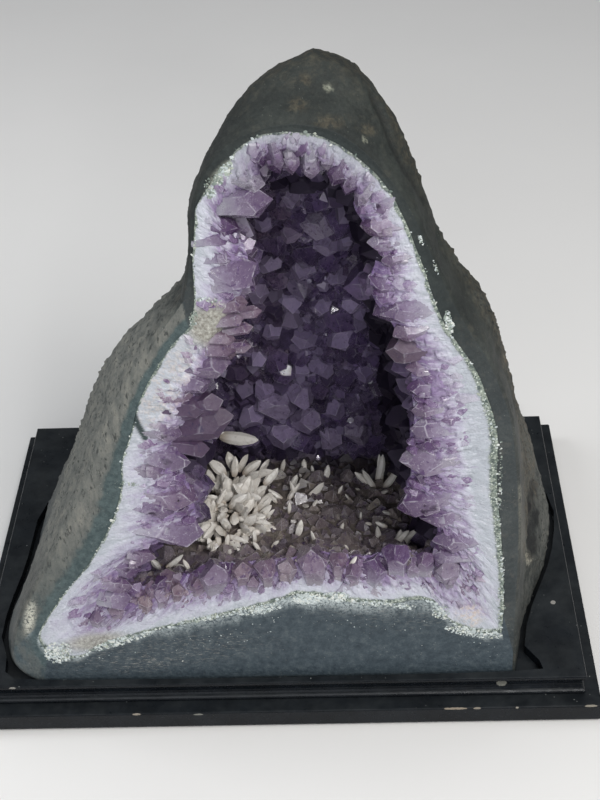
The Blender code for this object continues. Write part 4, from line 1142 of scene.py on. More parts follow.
def saw_cut(rng, place, proud, skew):
    """The saw plane, a little proud and a little askew, as each rim crystal was cut by it."""
    n = norm(SAW + rng.normal(0.0, skew, 3))
    p0 = np.array([place[0], front_y(place[2]) - proud, place[2]])
    return [(n, float(n @ p0))]


rim, columns, plum = Cluster(), Cluster(), Cluster()
rng = rng_of(7)

# the large points of the rim, from foot to tip in the photograph's frame:
# foot, tip, half width, how far behind the saw plane, shade, brown, milky
RIM_POINTS = [
    # arch and its left shoulder
    ((222, 202), (266, 199), 20, 11, 0.40, 0.0, 0.15), ((236, 176), (262, 184), 11, 6, 0.15, 0.0, 0.75),
    ((272, 143), (279, 171), 11, 6, 0.75, 0.0, 0.0), ((290, 146), (292, 172), 8, 7, 0.45, 0.1, 0.0),
    ((310, 146), (311, 175), 9, 5, 0.20, 0.0, 0.1), ((329, 148), (328, 168), 8, 4, 0.15, 0.1, 0.45),
    ((345, 154), (334, 182), 11, 7, 0.75, 0.0, 0.0), ((356, 166), (347, 192), 9, 6, 0.55, 0.0, 0.0),
    ((372, 184), (358, 204), 8, 5, 0.20, 0.1, 0.35), ((392, 196), (370, 210), 10, 6, 0.55, 0.0, 0.0),
    ((400, 220), (365, 225), 12, 9, 0.60, 0.1, 0.0), ((402, 240), (371, 242), 9, 6, 0.35, 0.0, 0.1),
    ((410, 254), (384, 260), 8, 5, 0.35, 0.1, 0.1), ((405, 262), (385, 268), 9, 7, 0.5, 0.0, 0.0),
    # right edge, from the waist down
    ((424, 296), (379, 312), 22, 15, 0.55, 0.0, 0.12), ((424, 322), (396, 334), 11, 8, 0.5, 0.2, 0.0),
    ((436, 342), (391, 350), 14, 14, 0.76, 0.35, 0.0), ((430, 366), (408, 368), 9, 9, 0.5, 0.2, 0.0),
    ((438, 386), (410, 388), 10, 8, 0.5, 0.0, 0.0), ((440, 404), (414, 410), 9, 8, 0.6, 0.1, 0.0),
    ((450, 424), (415, 428), 14, 9, 0.45, 0.0, 0.15), ((454, 452), (406, 460), 18, 13, 0.45, 0.1, 0.2),
    ((450, 486), (403, 505), 16, 12, 0.70, 0.0, 0.0), ((462, 508), (424, 517), 12, 9, 0.65, 0.0, 0.0),
    ((480, 532), (438, 540), 15, 9, 0.55, 0.0, 0.15), ((474, 556), (437, 556), 8, 6, 0.2, 0.0, 0.2),
    # bottom edge
    ((452, 596), (447, 562), 14, 9, 0.35, 0.05, 0.45), ((424, 588), (424, 555), 8, 8, 0.45, 0.0, 0.0),
    ((412, 590), (412, 560), 9, 5, 0.35, 0.0, 0.1), ((397, 592), (395, 549), 12, 9, 0.50, 0.0, 0.0),
    ((373, 594), (374, 562), 13, 8, 0.45, 0.0, 0.0), ((354, 594), (352, 566), 9, 7, 0.35, 0.1, 0.0),
    ((338, 590), (338, 556), 9, 7, 0.65, 0.25, 0.0), ((313, 594), (311, 553), 15, 10, 0.45, 0.0, 0.15),
    ((288, 592), (287, 563), 9, 6, 0.05, 0.45, 0.3), ((266, 594), (265, 563), 10, 7, 0.45, 0.0, 0.0),
    ((253, 600), (253, 578), 7, 5, 0.30, 0.1, 0.0), ((243, 592), (243, 564), 11, 9, 0.70, 0.1, 0.0),
    ((216, 604), (215, 568), 13, 8, 0.20, 0.0, 0.15), ((196, 606), (197, 580), 7, 6, 0.6, 0.2, 0.0),
    ((176, 610), (178, 586), 7, 6, 0.75, 0.25, 0.0), ((160, 616), (162, 590), 7, 6, 0.6, 0.2, 0.0),
    ((145, 622), (146, 597), 7, 6, 0.7, 0.25, 0.0), ((120, 628), (114, 606), 8, 7, 0.5, 0.1, 0.1),
    ((100, 634), (97, 612), 8, 7, 0.45, 0.1, 0.1),
    # left edge, from the lower corner up
    ((92, 600), (127, 597), 12, 8, 0.25, 0.0, 0.1), ((98, 578), (130, 586), 11, 9, 0.5, 0.1, 0.0),
    ((110, 560), (138, 568), 11, 8, 0.55, 0.0, 0.0), ((122, 548), (152, 556), 13, 10, 0.65, 0.1, 0.0),
    ((132, 522), (196, 531), 15, 11, 0.40, 0.0, 0.12), ((130, 500), (172, 509), 11, 7, 0.55, 0.0, 0.05),
    ((142, 488), (192, 498), 15, 12, 0.60, 0.15, 0.0), ((130, 466), (165, 470), 10, 6, 0.30, 0.1, 0.1),
    ((136, 448), (184, 460), 13, 9, 0.45, 0.0, 0.1), ((146, 428), (178, 434), 9, 5, 0.35, 0.1, 0.1),
    ((158, 402), (208, 406), 14, 14, 0.88, 0.1, 0.0), ((166, 430), (226, 418), 16, 18, 0.95, 0.1, 0.0),
    ((172, 414), (218, 402), 11, 12, 0.80, 0.1, 0.0), ((176, 444), (206, 448), 10, 12, 0.90, 0.1, 0.0), ((172, 384), (206, 382), 11, 8, 0.5, 0.0, 0.25),
    ((184, 366), (226, 362), 13, 12, 0.75, 0.05, 0.1), ((206, 350), (236, 350), 10, 9, 0.75, 0.3, 0.0),
    ((206, 338), (232, 339), 7, 8, 0.60, 0.45, 0.0), ((214, 322), (240, 318), 7, 7, 0.50, 0.40, 0.1),
    ((226, 332), (250, 327), 6, 9, 0.65, 0.35, 0.0), ((222, 346), (248, 346), 7, 10, 0.70, 0.30, 0.0),
    ((216, 308), (244, 303), 7, 8, 0.55, 0.45, 0.0), ((236, 314), (259, 311), 6, 11, 0.60, 0.40, 0.0),
    ((208, 274), (250, 264), 23, 15, 0.45, 0.0, 0.15), ((200, 254), (236, 250), 12, 9, 0.40, 0.0, 0.2),
    ((196, 240), (226, 236), 10, 7, 0.35, 0.0, 0.1), ((206, 224), (236, 228), 11, 9, 0.75, 0.0, 0.0),
]


def arch_shade(at):
    """Painted shade: the arch hangs forward and is painted darker as if it caught less light, and a set-back point
    likewise; a plum mass is darkened the same way.
    """
    mass = 0.34 * float(blob(at, 198, 421, 36, 32, 0.3)[0])
    return max(mass, 0.26 * float(blob(at, 300, 160, 100, 44, 0.5)[0]), 0.40 * float(blob(at, 411, 348, 24, 12, 0.4)[0]))


placed = []
for foot_px, tip_px, half, back, shade, brown_, milky_ in RIM_POINTS:
    tip = on_saw(tip_px[0], tip_px[1], back * 0.55)
    lower_ = foot_px[1] > 583
    if lower_:
        brown_ = min(1.0, brown_ + max(0.0, rng.normal(0.12, 0.16)))
        tip = on_saw(tip_px[0], tip_px[1], back * 0.15)
    mm_px = np.linalg.norm(tip - EYE_MM) / FOCAL
    wide = half * mm_px * 0.92
    foot = on_saw(foot_px[0], foot_px[1] - (9 if lower_ else 0), max(back * 0.85, wide * (1.7 if lower_ else 1.12)))
    axis = tip - foot
    long = float(np.linalg.norm(axis)) * 1.06
    foot = foot - axis * 0.08
    cut = saw_cut(rng, (foot + tip) * 0.5, rng.uniform(3.5, 6.5) if lower_ else rng.uniform(0.8, 2.4),
                  0.30 if lower_ else 0.14)
    dull = shade > 0.78 or (391, 350) == tip_px
    (plum if dull else rim).crystal(rng, foot, axis, wide, long * 1.12, 0.16 + max(0.0, shade - 0.62) * 2.6, 0.10, cut,
                (brown_, milky_, arch_shade(pixel_of((foot + tip)[None] * 0.5))), True, None, shade,
                rng.uniform(-4.0, -1.0), (-0.38, 0.95) if lower_ else (0.12, 0.98))
    for _ in range(0 if half < 8 or shade > 0.78 else int(rng.integers(2, 5) if half < 18 else 2)):
        away = rng.normal(0.0, 1.0, 3) + np.array([0.0, -0.9, 0.5])
        away = norm(away - norm(axis) * (away @ norm(axis))) * wide * rng.uniform(0.42, 0.80)
        reach = rng.uniform(0.62, 0.98)
        slim = wide * rng.uniform(0.28, 0.58)
        stem = slim * rng.uniform(1.8, 2.8)
        if half > 18:
            slim *= 0.6
        lie = norm(norm(axis) + rng.normal(0.0, 0.13, 3))
        rim.crystal(rng, foot + axis * reach + away - lie * stem, lie, slim, stem, 0.14 + max(0.0, shade - 0.62) * 2.4, 0.16,
                    cut, (min(brown_ + abs(rng.normal(0.0, 0.08)), 1.0), milky_, 0.0), True, None,
                    float(np.clip(shade + rng.normal(0.0, 0.2), 0.0, 1.0)), rng.uniform(-2.0, 3.0),
                    (0.12 + 0.5 * reach - 0.2, 0.35 + 0.6 * reach))
    for k in (0.15, 0.5, 0.85):
        placed.append((foot + axis * 1.1 * k, wide))
        take(foot + axis * 1.1 * k, wide * 1.1)


def at_loop(values, f):
    i = int(math.floor(f)) % LN
    j = (i + 1) % LN
    t = f - math.floor(f)
    return values[i] * (1 - t) + values[j] * t


def along_seam(step, rng, jitter=0.45):
    marks = np.arange(0.0, seam_run[-1], step)
    marks = marks + rng.uniform(-jitter, jitter, len(marks)) * step
    return np.mod(np.interp(np.mod(marks, seam_run[-1]), seam_run, np.arange(LN + 1)), LN)


def bare(point):
    """Places of the rim where no crystals stand."""
    at = pixel_of(point[None])
    value = blob(at, 211, 326, 20, 18, 0.3)[0] + blob(at, 95, 641, 28, 8, 0.4, -8.0)[0]
    return value + blob(at, 470, 617, 12, 10, 0.4)[0] > 0.4


def rim_column(cluster, f, t1, wide, times, proud, drop, skew, spacing=None, near=0.80):
    """A crystal that runs with the growth of the band and ends at the share t1 of its width."""
    s2, m2 = at_loop(seam_loop, f), at_loop(mouth_loop, f)
    across = float(np.linalg.norm(m2 - s2))
    long = wide * times
    t0 = t1 - long / across
    if t0 < 0.04:
        t0 = 0.04
        long = (t1 - t0) * across
        if long < wide * 1.6:
            return
    side2 = norm(np.array([-(m2 - s2)[1], (m2 - s2)[0]]))
    a2 = s2 + (m2 - s2) * t0
    b2 = s2 + (m2 - s2) * t1 + side2 * rng.normal(0.0, wide * 0.4)
    fall = 5.0 * float(smooth(0.62, 1.0, t1)) ** 1.5
    foot = np.array([a2[0], front_y(a2[1]) + wide * 1.2 + 0.5, a2[1]])
    tip = np.array([b2[0], front_y(b2[1]) + wide * drop + fall, b2[1]])
    where = float(at_loop(column[:, None], f)[0])
    out = float(np.interp(where, [0.0, 0.9, 1.5, 3.6, 4.6, 5.6, 6.1, 7.8, 8.0], [0.1, 0.2, 0.55, 0.45, 0.1, 0.1, 0.35, 0.3, 0.1]))
    tip = tip + np.array([0.0, -1.0, 0.0]) * out * long * rng.uniform(0.2, 0.8)
    middle = (foot + tip) * 0.5
    if bare(middle) or (spacing is not None and not free(tip - (tip - foot) * 0.3, wide, spacing)):
        return
    for share in (0.3, 0.6, 0.9):
        q = foot + (tip - foot) * share
        if (np.linalg.norm((placed_at - q)[:, [0, 2]], axis=1) < placed_r * near + wide * 0.2).any():
            return
    px = pixel_of(middle[None])
    flesh = float(blob(px, 165, 385, 26, 50, 0.5, 30.0)[0]) * 0.35
    rusty = float(np.maximum(blob(px, 175, 592, 45, 9, 0.5, -10.0)[0], blob(px, 235, 335, 22, 26, 0.5)[0])) * 0.4
    rusty += max(0.0, rng.normal(0.05, 0.16)) * float(smooth(545.0, 575.0, px[0, 1]))
    cluster.crystal(rng, foot, tip - foot, wide, long * 1.05, 0.06 + 0.12 * t1, 0.22,
                    saw_cut(rng, tip, proud + out * wide * 0.8, skew + out * 0.3),
                    (min(flesh + rusty, 1.0), 0.0, arch_shade(px)), wide > 2.4, None, None, rng.uniform(-3.0, 2.0),
                    (0.9 * max(t0, 0.0), 0.10 + 0.86 * t1))
    if spacing is not None:
        take(tip - (tip - foot) * 0.3, wide * 0.75)


placed_at, placed_r = np.array([p for p, _ in placed]), np.array([r for _, r in placed])

# short points crowd the lower edge
for f in np.concatenate([along_seam(5.0, rng) for _ in range(4)]):
    if 5.9 < float(at_loop(column[:, None], f)[0]) < 7.96:
        rim_column(rim, f, rng.uniform(0.42, 1.02), rng.uniform(3.6, 7.4), rng.uniform(1.3, 1.9), rng.uniform(2.0, 5.0),
                   rng.uniform(0.1, 0.5), 0.40, 0.34, 0.20)
# points along the mouth that fill the gaps, then smaller ones toward the seam
for f in along_seam(10.0, rng):
    rim_column(rim, f, rng.uniform(0.86, 1.03), rng.uniform(5.2, 8.2), rng.uniform(1.7, 2.5), rng.uniform(0.5, 2.2),
               rng.uniform(0.4, 0.8), 0.22, 0.60)
for f in np.concatenate([along_seam(6.0, rng) for _ in range(6)]):
    rim_column(columns, f, rng.uniform(0.46, 1.03), rng.uniform(3.0, 5.8), rng.uniform(1.8, 2.9), rng.uniform(0.3, 1.7),
               rng.uniform(0.2, 0.6), 0.26, 0.60)
for f in np.concatenate([along_seam(5.5, rng) for _ in range(3)]):
    rim_column(columns, f, rng.uniform(0.38, 1.0), rng.uniform(1.4, 2.8), rng.uniform(2.4, 4.2), rng.uniform(0.1, 0.9),
               rng.uniform(0.2, 0.7), 0.2, 0.60)
rim_piece = rim.make("amethyst_rim_points", rim_quartz)
plum_piece = plum.make("amethyst_plum_points", plum_quartz)
column_piece = columns.make("amethyst_rim_columns", milky_quartz)

# points on the walls, floor and rear of the hollow
rng = rng_of(17)
cell_a = rest_shell[len(band):]
cn = shell_normals[len(band):]
quad_area = np.linalg.norm(np.cross(np.roll(cell_a, -1, axis=1)[:-1] - cell_a[:-1],
                                    cell_a[1:] - cell_a[:-1]), axis=-1)
weights = quad_area.ravel() / quad_area.sum()


def scatter(rng, count):
    pick = rng.choice(len(weights), size=count, p=weights)
    r, c = pick // LN, pick % LN
    a, b = rng.uniform(size=count)[:, None], rng.uniform(size=count)[:, None]
    c2_ = (c + 1) % LN
    top = cell_a[r, c] * (1 - a) + cell_a[r, c2_] * a
    low_ = cell_a[r + 1, c] * (1 - a) + cell_a[r + 1, c2_] * a
    n = norm(cn[r, c] * (1 - a) + cn[r, c2_] * a)
    share = wall_shares[r] * (1 - b[:, 0]) + wall_shares[r + 1] * b[:, 0]
    return top * (1 - b) + low_ * b, n, share


druse = {"rear": Cluster(), "walls": Cluster(), "floor": Cluster(), "large": Cluster(), "shade": Cluster()}

# crystals of the hollow that stand out, by their middle in the photograph's frame:
# middle, half width, how much it turns to the viewer, zone, shade, brown, milky
HOLLOW_POINTS = [
    ((291, 194), 12, 0.5, 0.85, 0.4, 0.1, 0.45), ((320, 222), 18, 0.7, 0.75, 0.3, 0.0, 0.75),
    ((245, 246), 9, 0.6, 0.8, 0.4, 0.45, 0.1), ((291, 231), 11, 0.5, 0.8, 0.5, 0.5, 0.1),
    ((327, 243), 13, 0.5, 0.85, 0.5, 0.0, 0.35), ((263, 222), 9, 0.4, 0.9, 0.7, 0.0, 0.0),
    ((350, 236), 10, 0.4, 0.95, 0.6, 0.0, 0.2), ((268, 262), 12, 0.5, 0.85, 0.6, 0.2, 0.1),
    ((302, 268), 13, 0.6, 0.85, 0.55, 0.1, 0.15), ((338, 274), 12, 0.5, 0.95, 0.5, 0.0, 0.25),
    ((258, 292), 11, 0.4, 0.8, 0.6, 0.3, 0.1), ((290, 300), 12, 0.6, 0.9, 0.6, 0.0, 0.1),
    ((322, 304), 12, 0.5, 0.9, 0.5, 0.0, 0.15), ((352, 300), 11, 0.4, 0.95, 0.5, 0.0, 0.1),
    ((272, 330), 11, 0.5, 0.85, 0.6, 0.1, 0.1), ((306, 336), 13, 0.6, 0.9, 0.55, 0.0, 0.1),
    ((340, 338), 13, 0.5, 0.9, 0.5, 0.0, 0.2), ((258, 358), 10, 0.4, 0.85, 0.6, 0.0, 0.1),
    ((322, 366), 13, 0.5, 0.9, 0.5, 0.0, 0.2), ((366, 372), 10, 0.3, 0.98, 0.5, 0.0, 0.0),
    ((300, 368), 10, 0.6, 0.9, 0.6, 0.0, 0.0),
    ((277, 402), 20, 0.8, 0.72, 0.45, 0.0, 0.40), ((301, 391), 14, 0.6, 0.75, 0.5, 0.0, 0.25),
    ((263, 387), 11, 0.4, 0.78, 0.5, 0.0, 0.20), ((308, 418), 15, 0.7, 0.72, 0.45, 0.05, 0.35),
    ((283, 432), 14, 0.8, 0.75, 0.5, 0.0, 0.25), ((251, 413), 13, 0.45, 0.8, 0.6, 0.0, 0.15),
    ((357, 430), 13, 0.8, 0.70, 0.35, 0.15, 0.65), ((331, 438), 14, 0.7, 0.74, 0.45, 0.1, 0.40),
    ((334, 408), 11, 0.5, 0.85, 0.5, 0.0, 0.15), ((243, 440), 10, 0.4, 0.85, 0.6, 0.0, 0.2),
]
for (px, py), half, face_, zone_, shade, brown_, milky_ in HOLLOW_POINTS:
    p, n = cast(shell_tree, px, py)
    if p is None:
        continue
    mm_px = np.linalg.norm(p - EYE_MM) / FOCAL
    wide = half * mm_px * 0.95
    axis = norm(n * (1.0 - face_ * 0.6) + norm(EYE_MM - p) * face_ * 0.9 + rng.normal(0, 0.24, 3))
    lift = 5.0 if 375 < py < 446 and 245 < px < 320 else 2.0
    cluster = druse["large"]
    shade = min(1.0, shade + 0.35)
    zone_ -= 0.15
    cluster.crystal(rng, p - axis * wide * 0.9 + axis * lift, axis, wide, wide * 2.0 + lift * 0.2, zone_, 0.12, None,
                    (brown_, milky_, 0.0), True, None, shade)
    take(p, wide * 0.85)

FLOOR_POINTS = [((245, 556), 13, 0.55, 0.6, 0.1), ((292, 557), 11, 0.3, 0.75, 0.0), ((165, 555), 12, 0.6, 0.6, 0.35),
                ((139, 577), 10, 0.5, 0.6, 0.35), ((171, 577), 11, 0.8, 0.5, 0.1), ((226, 552), 10, 0.8, 0.5, 0.1),
                ((318, 548), 10, 0.9, 0.4, 0.1), ((345, 540), 11, 0.85, 0.5, 0.1), ((372, 544), 10, 0.8, 0.5, 0.2),
                ((330, 515), 12, 0.9, 0.4, 0.15), ((362, 505), 11, 0.9, 0.5, 0.1), ((300, 500), 11, 0.9, 0.45, 0.2),
                ((392, 515), 10, 0.8, 0.6, 0.1), ((282, 525), 10, 0.9, 0.4, 0.1), ((318, 478), 10, 0.8, 0.5, 0.25),
                ((348, 478), 10, 0.8, 0.55, 0.2), ((408, 560), 9, 0.8, 0.5, 0.1), ((432, 545), 9, 0.8, 0.5, 0.1)]
for (px, py), half, brown_, shade, milky_ in FLOOR_POINTS:
    p, n = cast(shell_tree, px, py)
    if p is None:
        continue
    mm_px = np.linalg.norm(p - EYE_MM) / FOCAL
    wide = half * mm_px * 0.85
    axis = norm(n * 0.9 + norm(EYE_MM - p) * 0.35 + rng.normal(0, 0.22, 3))
    druse["floor"].crystal(rng, p - axis * wide * 0.6, axis, wide, wide * 1.75, 0.62, 0.12, None,
                           (brown_, milky_, 0.0), True, None, shade)
    take(p, wide * 0.85)

# a few faces that send the lamp's light to the front
for px, py, half in ((286, 363, 5.0), (334, 306, 3.2), (318, 455, 1.6), (330, 262, 1.5), (276, 214, 1.4),
                     (232, 235, 1.8), (300, 286, 1.4), (350, 352, 1.5), (262, 345, 1.5), (296, 245, 1.2)):
    p, n = cast(shell_tree, px, py)
    if p is None:
        continue
    mm_px = np.linalg.norm(p - EYE_MM) / FOCAL
    half_way = norm(norm(EYE_MM - p) + norm(SPARK / MM - p))
    sideways = norm(np.cross(half_way, norm(n + rng.normal(0, 0.3, 3))))
    upish = np.cross(sideways, half_way)
    axis = norm(half_way * math.cos(SLOPE) - upish * math.sin(SLOPE) * (1 if rng.uniform() < 0.5 else -1))
    wide = half * mm_px * 1.6
    druse["rear"].crystal(rng, p + n * wide * 1.2 - axis * wide, axis, wide, wide * 2.0, 0.8, 0.0, None,
                          (0.0, 0.3, 0.0), True, half_way)


# the line of the right inner wall that takes painted shade
DARK_WALL = [(350, 178), (370, 215), (384, 262), (388, 300), (392, 350), (398, 400), (402, 450), (408, 492), (430, 520)]


def painted_shade(p):
    """Painted shade: how far the crystals of a place are darkened, on the right inner wall, under the arch and in
    nooks, with darker patches of random tone as well.
    """
    at = pixel_of(p[None])
    wall_side = stroke(at, DARK_WALL, 17.0, 0.45)[0]
    roof = blob(at, 306, 177, 46, 11, 0.4)[0]
    nook = max(blob(at, 190, 456, 20, 16, 0.4)[0], blob(at, 262, 452, 80, 9, 0.5)[0])
    nook = max(nook, blob(at, 244, 389, 15, 13, 0.4)[0] * 0.7)
    patch_ = float(smooth(0.10, 0.50, noise3(p[None], 26.0, 77))[0]) * 0.68
    return float(min(0.97, max(wall_side * 0.97, roof * 0.92, nook * 0.85, patch_)))


def hollow_point(p, n, share, wide, tall, tilt):
    on_floor = n[2] > 0.5 and p[2] < 150.0
    if math.hypot((p[0] + 40.0) / 45.0, (p[1] + 53.0) / 50.0) < 1.0 and p[2] < 155.0:
        wide = min(wide, 4.2)
    axis = norm(n + rng.normal(0.0, tilt * (0.5 if on_floor else 1.0), 3))
    if on_floor:
        tall = tall * 0.72
    if share < 0.25:
        axis = norm(axis + np.array([0.0, -0.35, 0.0]) * (0.25 - share) / 0.25)
    if share > 0.7:
        axis = norm(axis + norm(EYE_MM - p) * 0.25)
    zone = 0.20 + 0.80 * float(smooth(0.02, 0.34, share)) + rng.uniform(-0.14, 0.10)
    brown_ = (0.80 if on_floor else 0.0) + max(0.0, rng.normal(0.0, 0.16))
    gloom = painted_shade(p)
    if on_floor:
        brown_ *= float(smooth(0.03, 0.16, share)) * (1.0 - 0.5 * float(smooth(0.82, 1.0, share)))
        zone = min(zone, 0.7)
        # painted shade toward the rear of the floor
        gloom = 0.75 * float(smooth(0.72, 0.98, share + rng.normal(0.0, 0.05)))
    milky_ = max(0.0, rng.normal(-0.05, 0.22))
    if not on_floor:
        brown_ += 0.34 * float(blob(pixel_of(p[None]), 258, 285, 40, 110, 0.4)[0]) * rng.uniform(0.0, 1.6)
    which = "floor" if on_floor else ("rear" if share > 0.72 else "walls")
    # crystals deep in painted shade take the dull, dark copy of the quartz
    if gloom > 0.5 and not on_floor:
        which = "shade"
    druse[which].crystal(rng, p - axis * wide * 0.55, axis, wide, wide * tall, float(np.clip(zone, 0, 1)), 0.16,
                         None, (min(brown_, 1.0), min(milky_, 0.8) * (1.0 - gloom), gloom))


for size_lo, size_hi, count, spacing, tilt in ((8.0, 12.5, 800, 0.80, 0.30), (5.5, 8.0, 2400, 0.74, 0.36),
                                               (3.4, 5.5, 5000, 0.68, 0.42), (2.0, 3.4, 6500, 0.62, 0.5)):
    for p_, n_, s_ in zip(*scatter(rng, count)):
        wide = rng.uniform(size_lo, size_hi)
        if n_[2] > 0.5 and p_[2] < 150.0:
            if wide < 3.0:
                continue
            wide = min(wide, 8.0)
        if s_ < 0.12:
            wide = min(wide, 7.5)
        if not free(p_, wide, spacing):
            continue
        take(p_, wide)
        hollow_point(p_, n_, s_, wide, rng.uniform(1.35, 2.0), tilt)
for p_, n_, s_ in zip(*scatter(rng, 5200)):
    if n_[2] < 0.5 or p_[2] > 150.0:
        continue
    wide = rng.uniform(4.2, 7.6)
    if free(p_, wide, 0.50):
        take(p_, wide * 0.9)
        hollow_point(p_, n_, s_, wide, rng.uniform(1.35, 1.8), 0.5)
druse_pieces = [druse["rear"].make("amethyst_rear_druse", deep_quartz),
                druse["walls"].make("amethyst_wall_druse", deep_quartz),
                druse["floor"].make("amethyst_floor_druse", floor_quartz),
                druse["large"].make("amethyst_large_points", large_quartz),
                druse["shade"].make("amethyst_shaded_druse", shade_quartz)]

# the quartz bed that all the crystals grow from
back_rows_q = []
deep_q = loop_of(SEAM_DEEP, LINE_TIMES)
for d, share in SEAM_NEAR[1:]:
    x = seam_loop[:, 0] + (deep_q[:, 0] - seam_loop[:, 0]) * share
    z = seam_loop[:, 1] + (deep_q[:, 1] - seam_loop[:, 1]) * share
    back_rows_q.append(np.stack([x, front_y(z) + d, z], axis=1))
for d, fw, fh, low_z in SEAM_FAR:
    x = SEAM_END[1] + (deep_q[:, 0] - SEAM_END[1]) * fw
    z = low_z + (deep_q[:, 1] - SEAM_DEEP[6][-1][1]) * fh
    back_rows_q.append(np.stack([x, front_y(z) + d, z], axis=1))
back_q = np.array(back_rows_q)[::-1]
toward_mid = np.array([15.0, 0.0, 230.0]) - back_q
toward_mid[..., 1] = 0.0
back_q = back_q + norm(toward_mid) * 0.4
bed_rows = np.concatenate([back_q, shell])
bed_verts = np.concatenate([bed_rows.reshape(-1, 3), [tip_b[0] - np.array([0.0, 0.5, 0.0])], [wall[-1].mean(0)]])
bed_faces = [tuple(q) for q in grid_faces(len(bed_rows), LN).tolist()]
i0, i1 = len(bed_verts) - 2, len(bed_verts) - 1
lastq = (len(bed_rows) - 1) * LN
bed_faces += [(j, i0, (j + 1) % LN) for j in range(LN)]
bed_faces += [(lastq + j, lastq + (j + 1) % LN, i1) for j in range(LN)]
n_back, n_band, n_wall = len(back_q) * LN, len(band) * LN, len(wall) * LN
share_col = np.concatenate([np.zeros(n_back), T * 0.92, np.ones(n_wall), [0.0, 1.0]])
zone_col = np.concatenate([np.zeros(n_back + n_band), np.repeat(smooth(0.04, 0.35, wall_shares), LN), [0.0, 1.0]])
lower_edge = np.zeros(len(bed_verts))
lower_edge[n_back:n_back + n_band] = smooth(520.0, 575.0, band_px[:, 1]) * (1.0 - smooth(440.0, 470.0, band_px[:, 0]))
bed_paint = np.stack([share_col, lower_edge, zone_col], axis=1)
wall_flow = np.stack([np.broadcast_to(ROUND * np.cos(turn_at), wall.shape[:2]),
                      np.broadcast_to(ROUND * np.sin(turn_at), wall.shape[:2]),
                      np.broadcast_to(rim_width, wall.shape[:2]) + wall_shares[:, None] * 150.0], axis=-1)
back_flow = np.stack([np.broadcast_to(ROUND * np.cos(turn_at), back_q.shape[:2]),
                      np.broadcast_to(ROUND * np.sin(turn_at), back_q.shape[:2]),
                      np.zeros(back_q.shape[:2])], axis=-1)
flow_all = np.concatenate([back_flow.reshape(-1, 3), flow.reshape(-1, 3), wall_flow.reshape(-1, 3), np.zeros((2, 3))])
white_zone = blob(band_px, 168, 382, 20, 62, 0.5, 28.0)
white_zone = np.maximum(white_zone, blob(band_px, 478, 440, 16, 120, 0.5, -6.0) * 0.9)
patch = np.maximum(blob(band_px, 211, 326, 25, 22, 0.4), blob(band_px, 95, 642, 30, 8, 0.5, -8.0) * 0.9)
beige = np.maximum(blob(band_px, 470, 616, 13, 11, 0.5), blob(band_px, 166, 388, 22, 46, 0.5, 28.0) * 0.55)
beige = np.maximum(beige, blob(band_px, 194, 320, 7, 12, 0.5))
beige = np.maximum(beige, blob(band_px, 209, 303, 16, 4, 0.4, 4.0))
bed_tint = np.zeros((len(bed_verts), 4))
# the alpha of tint is painted shade under the arch
bed_tint[n_back:n_back + n_band] = np.stack([crust.reshape(-1), patch, beige, 0.30 * blob(band_px, 300, 160, 100, 44, 0.5)],
                                            axis=1)
bed_pale = np.zeros((len(bed_verts), 4))
bed_pale[n_back:n_back + n_band, 0] = white_zone
bed_pale[n_back:n_back + n_band, 3] = stroke(band_px, [(133, 412), (137, 424), (145, 438)], 3.2, 0.35)
floor_like = smooth(0.3, 0.6, shell_normals[len(band):].reshape(-1, 3)[:, 2]) * (wall.reshape(-1, 3)[:, 2] < 150.0)
bed_pale[n_back + n_band:n_back + n_band + n_wall, 1] = floor_like


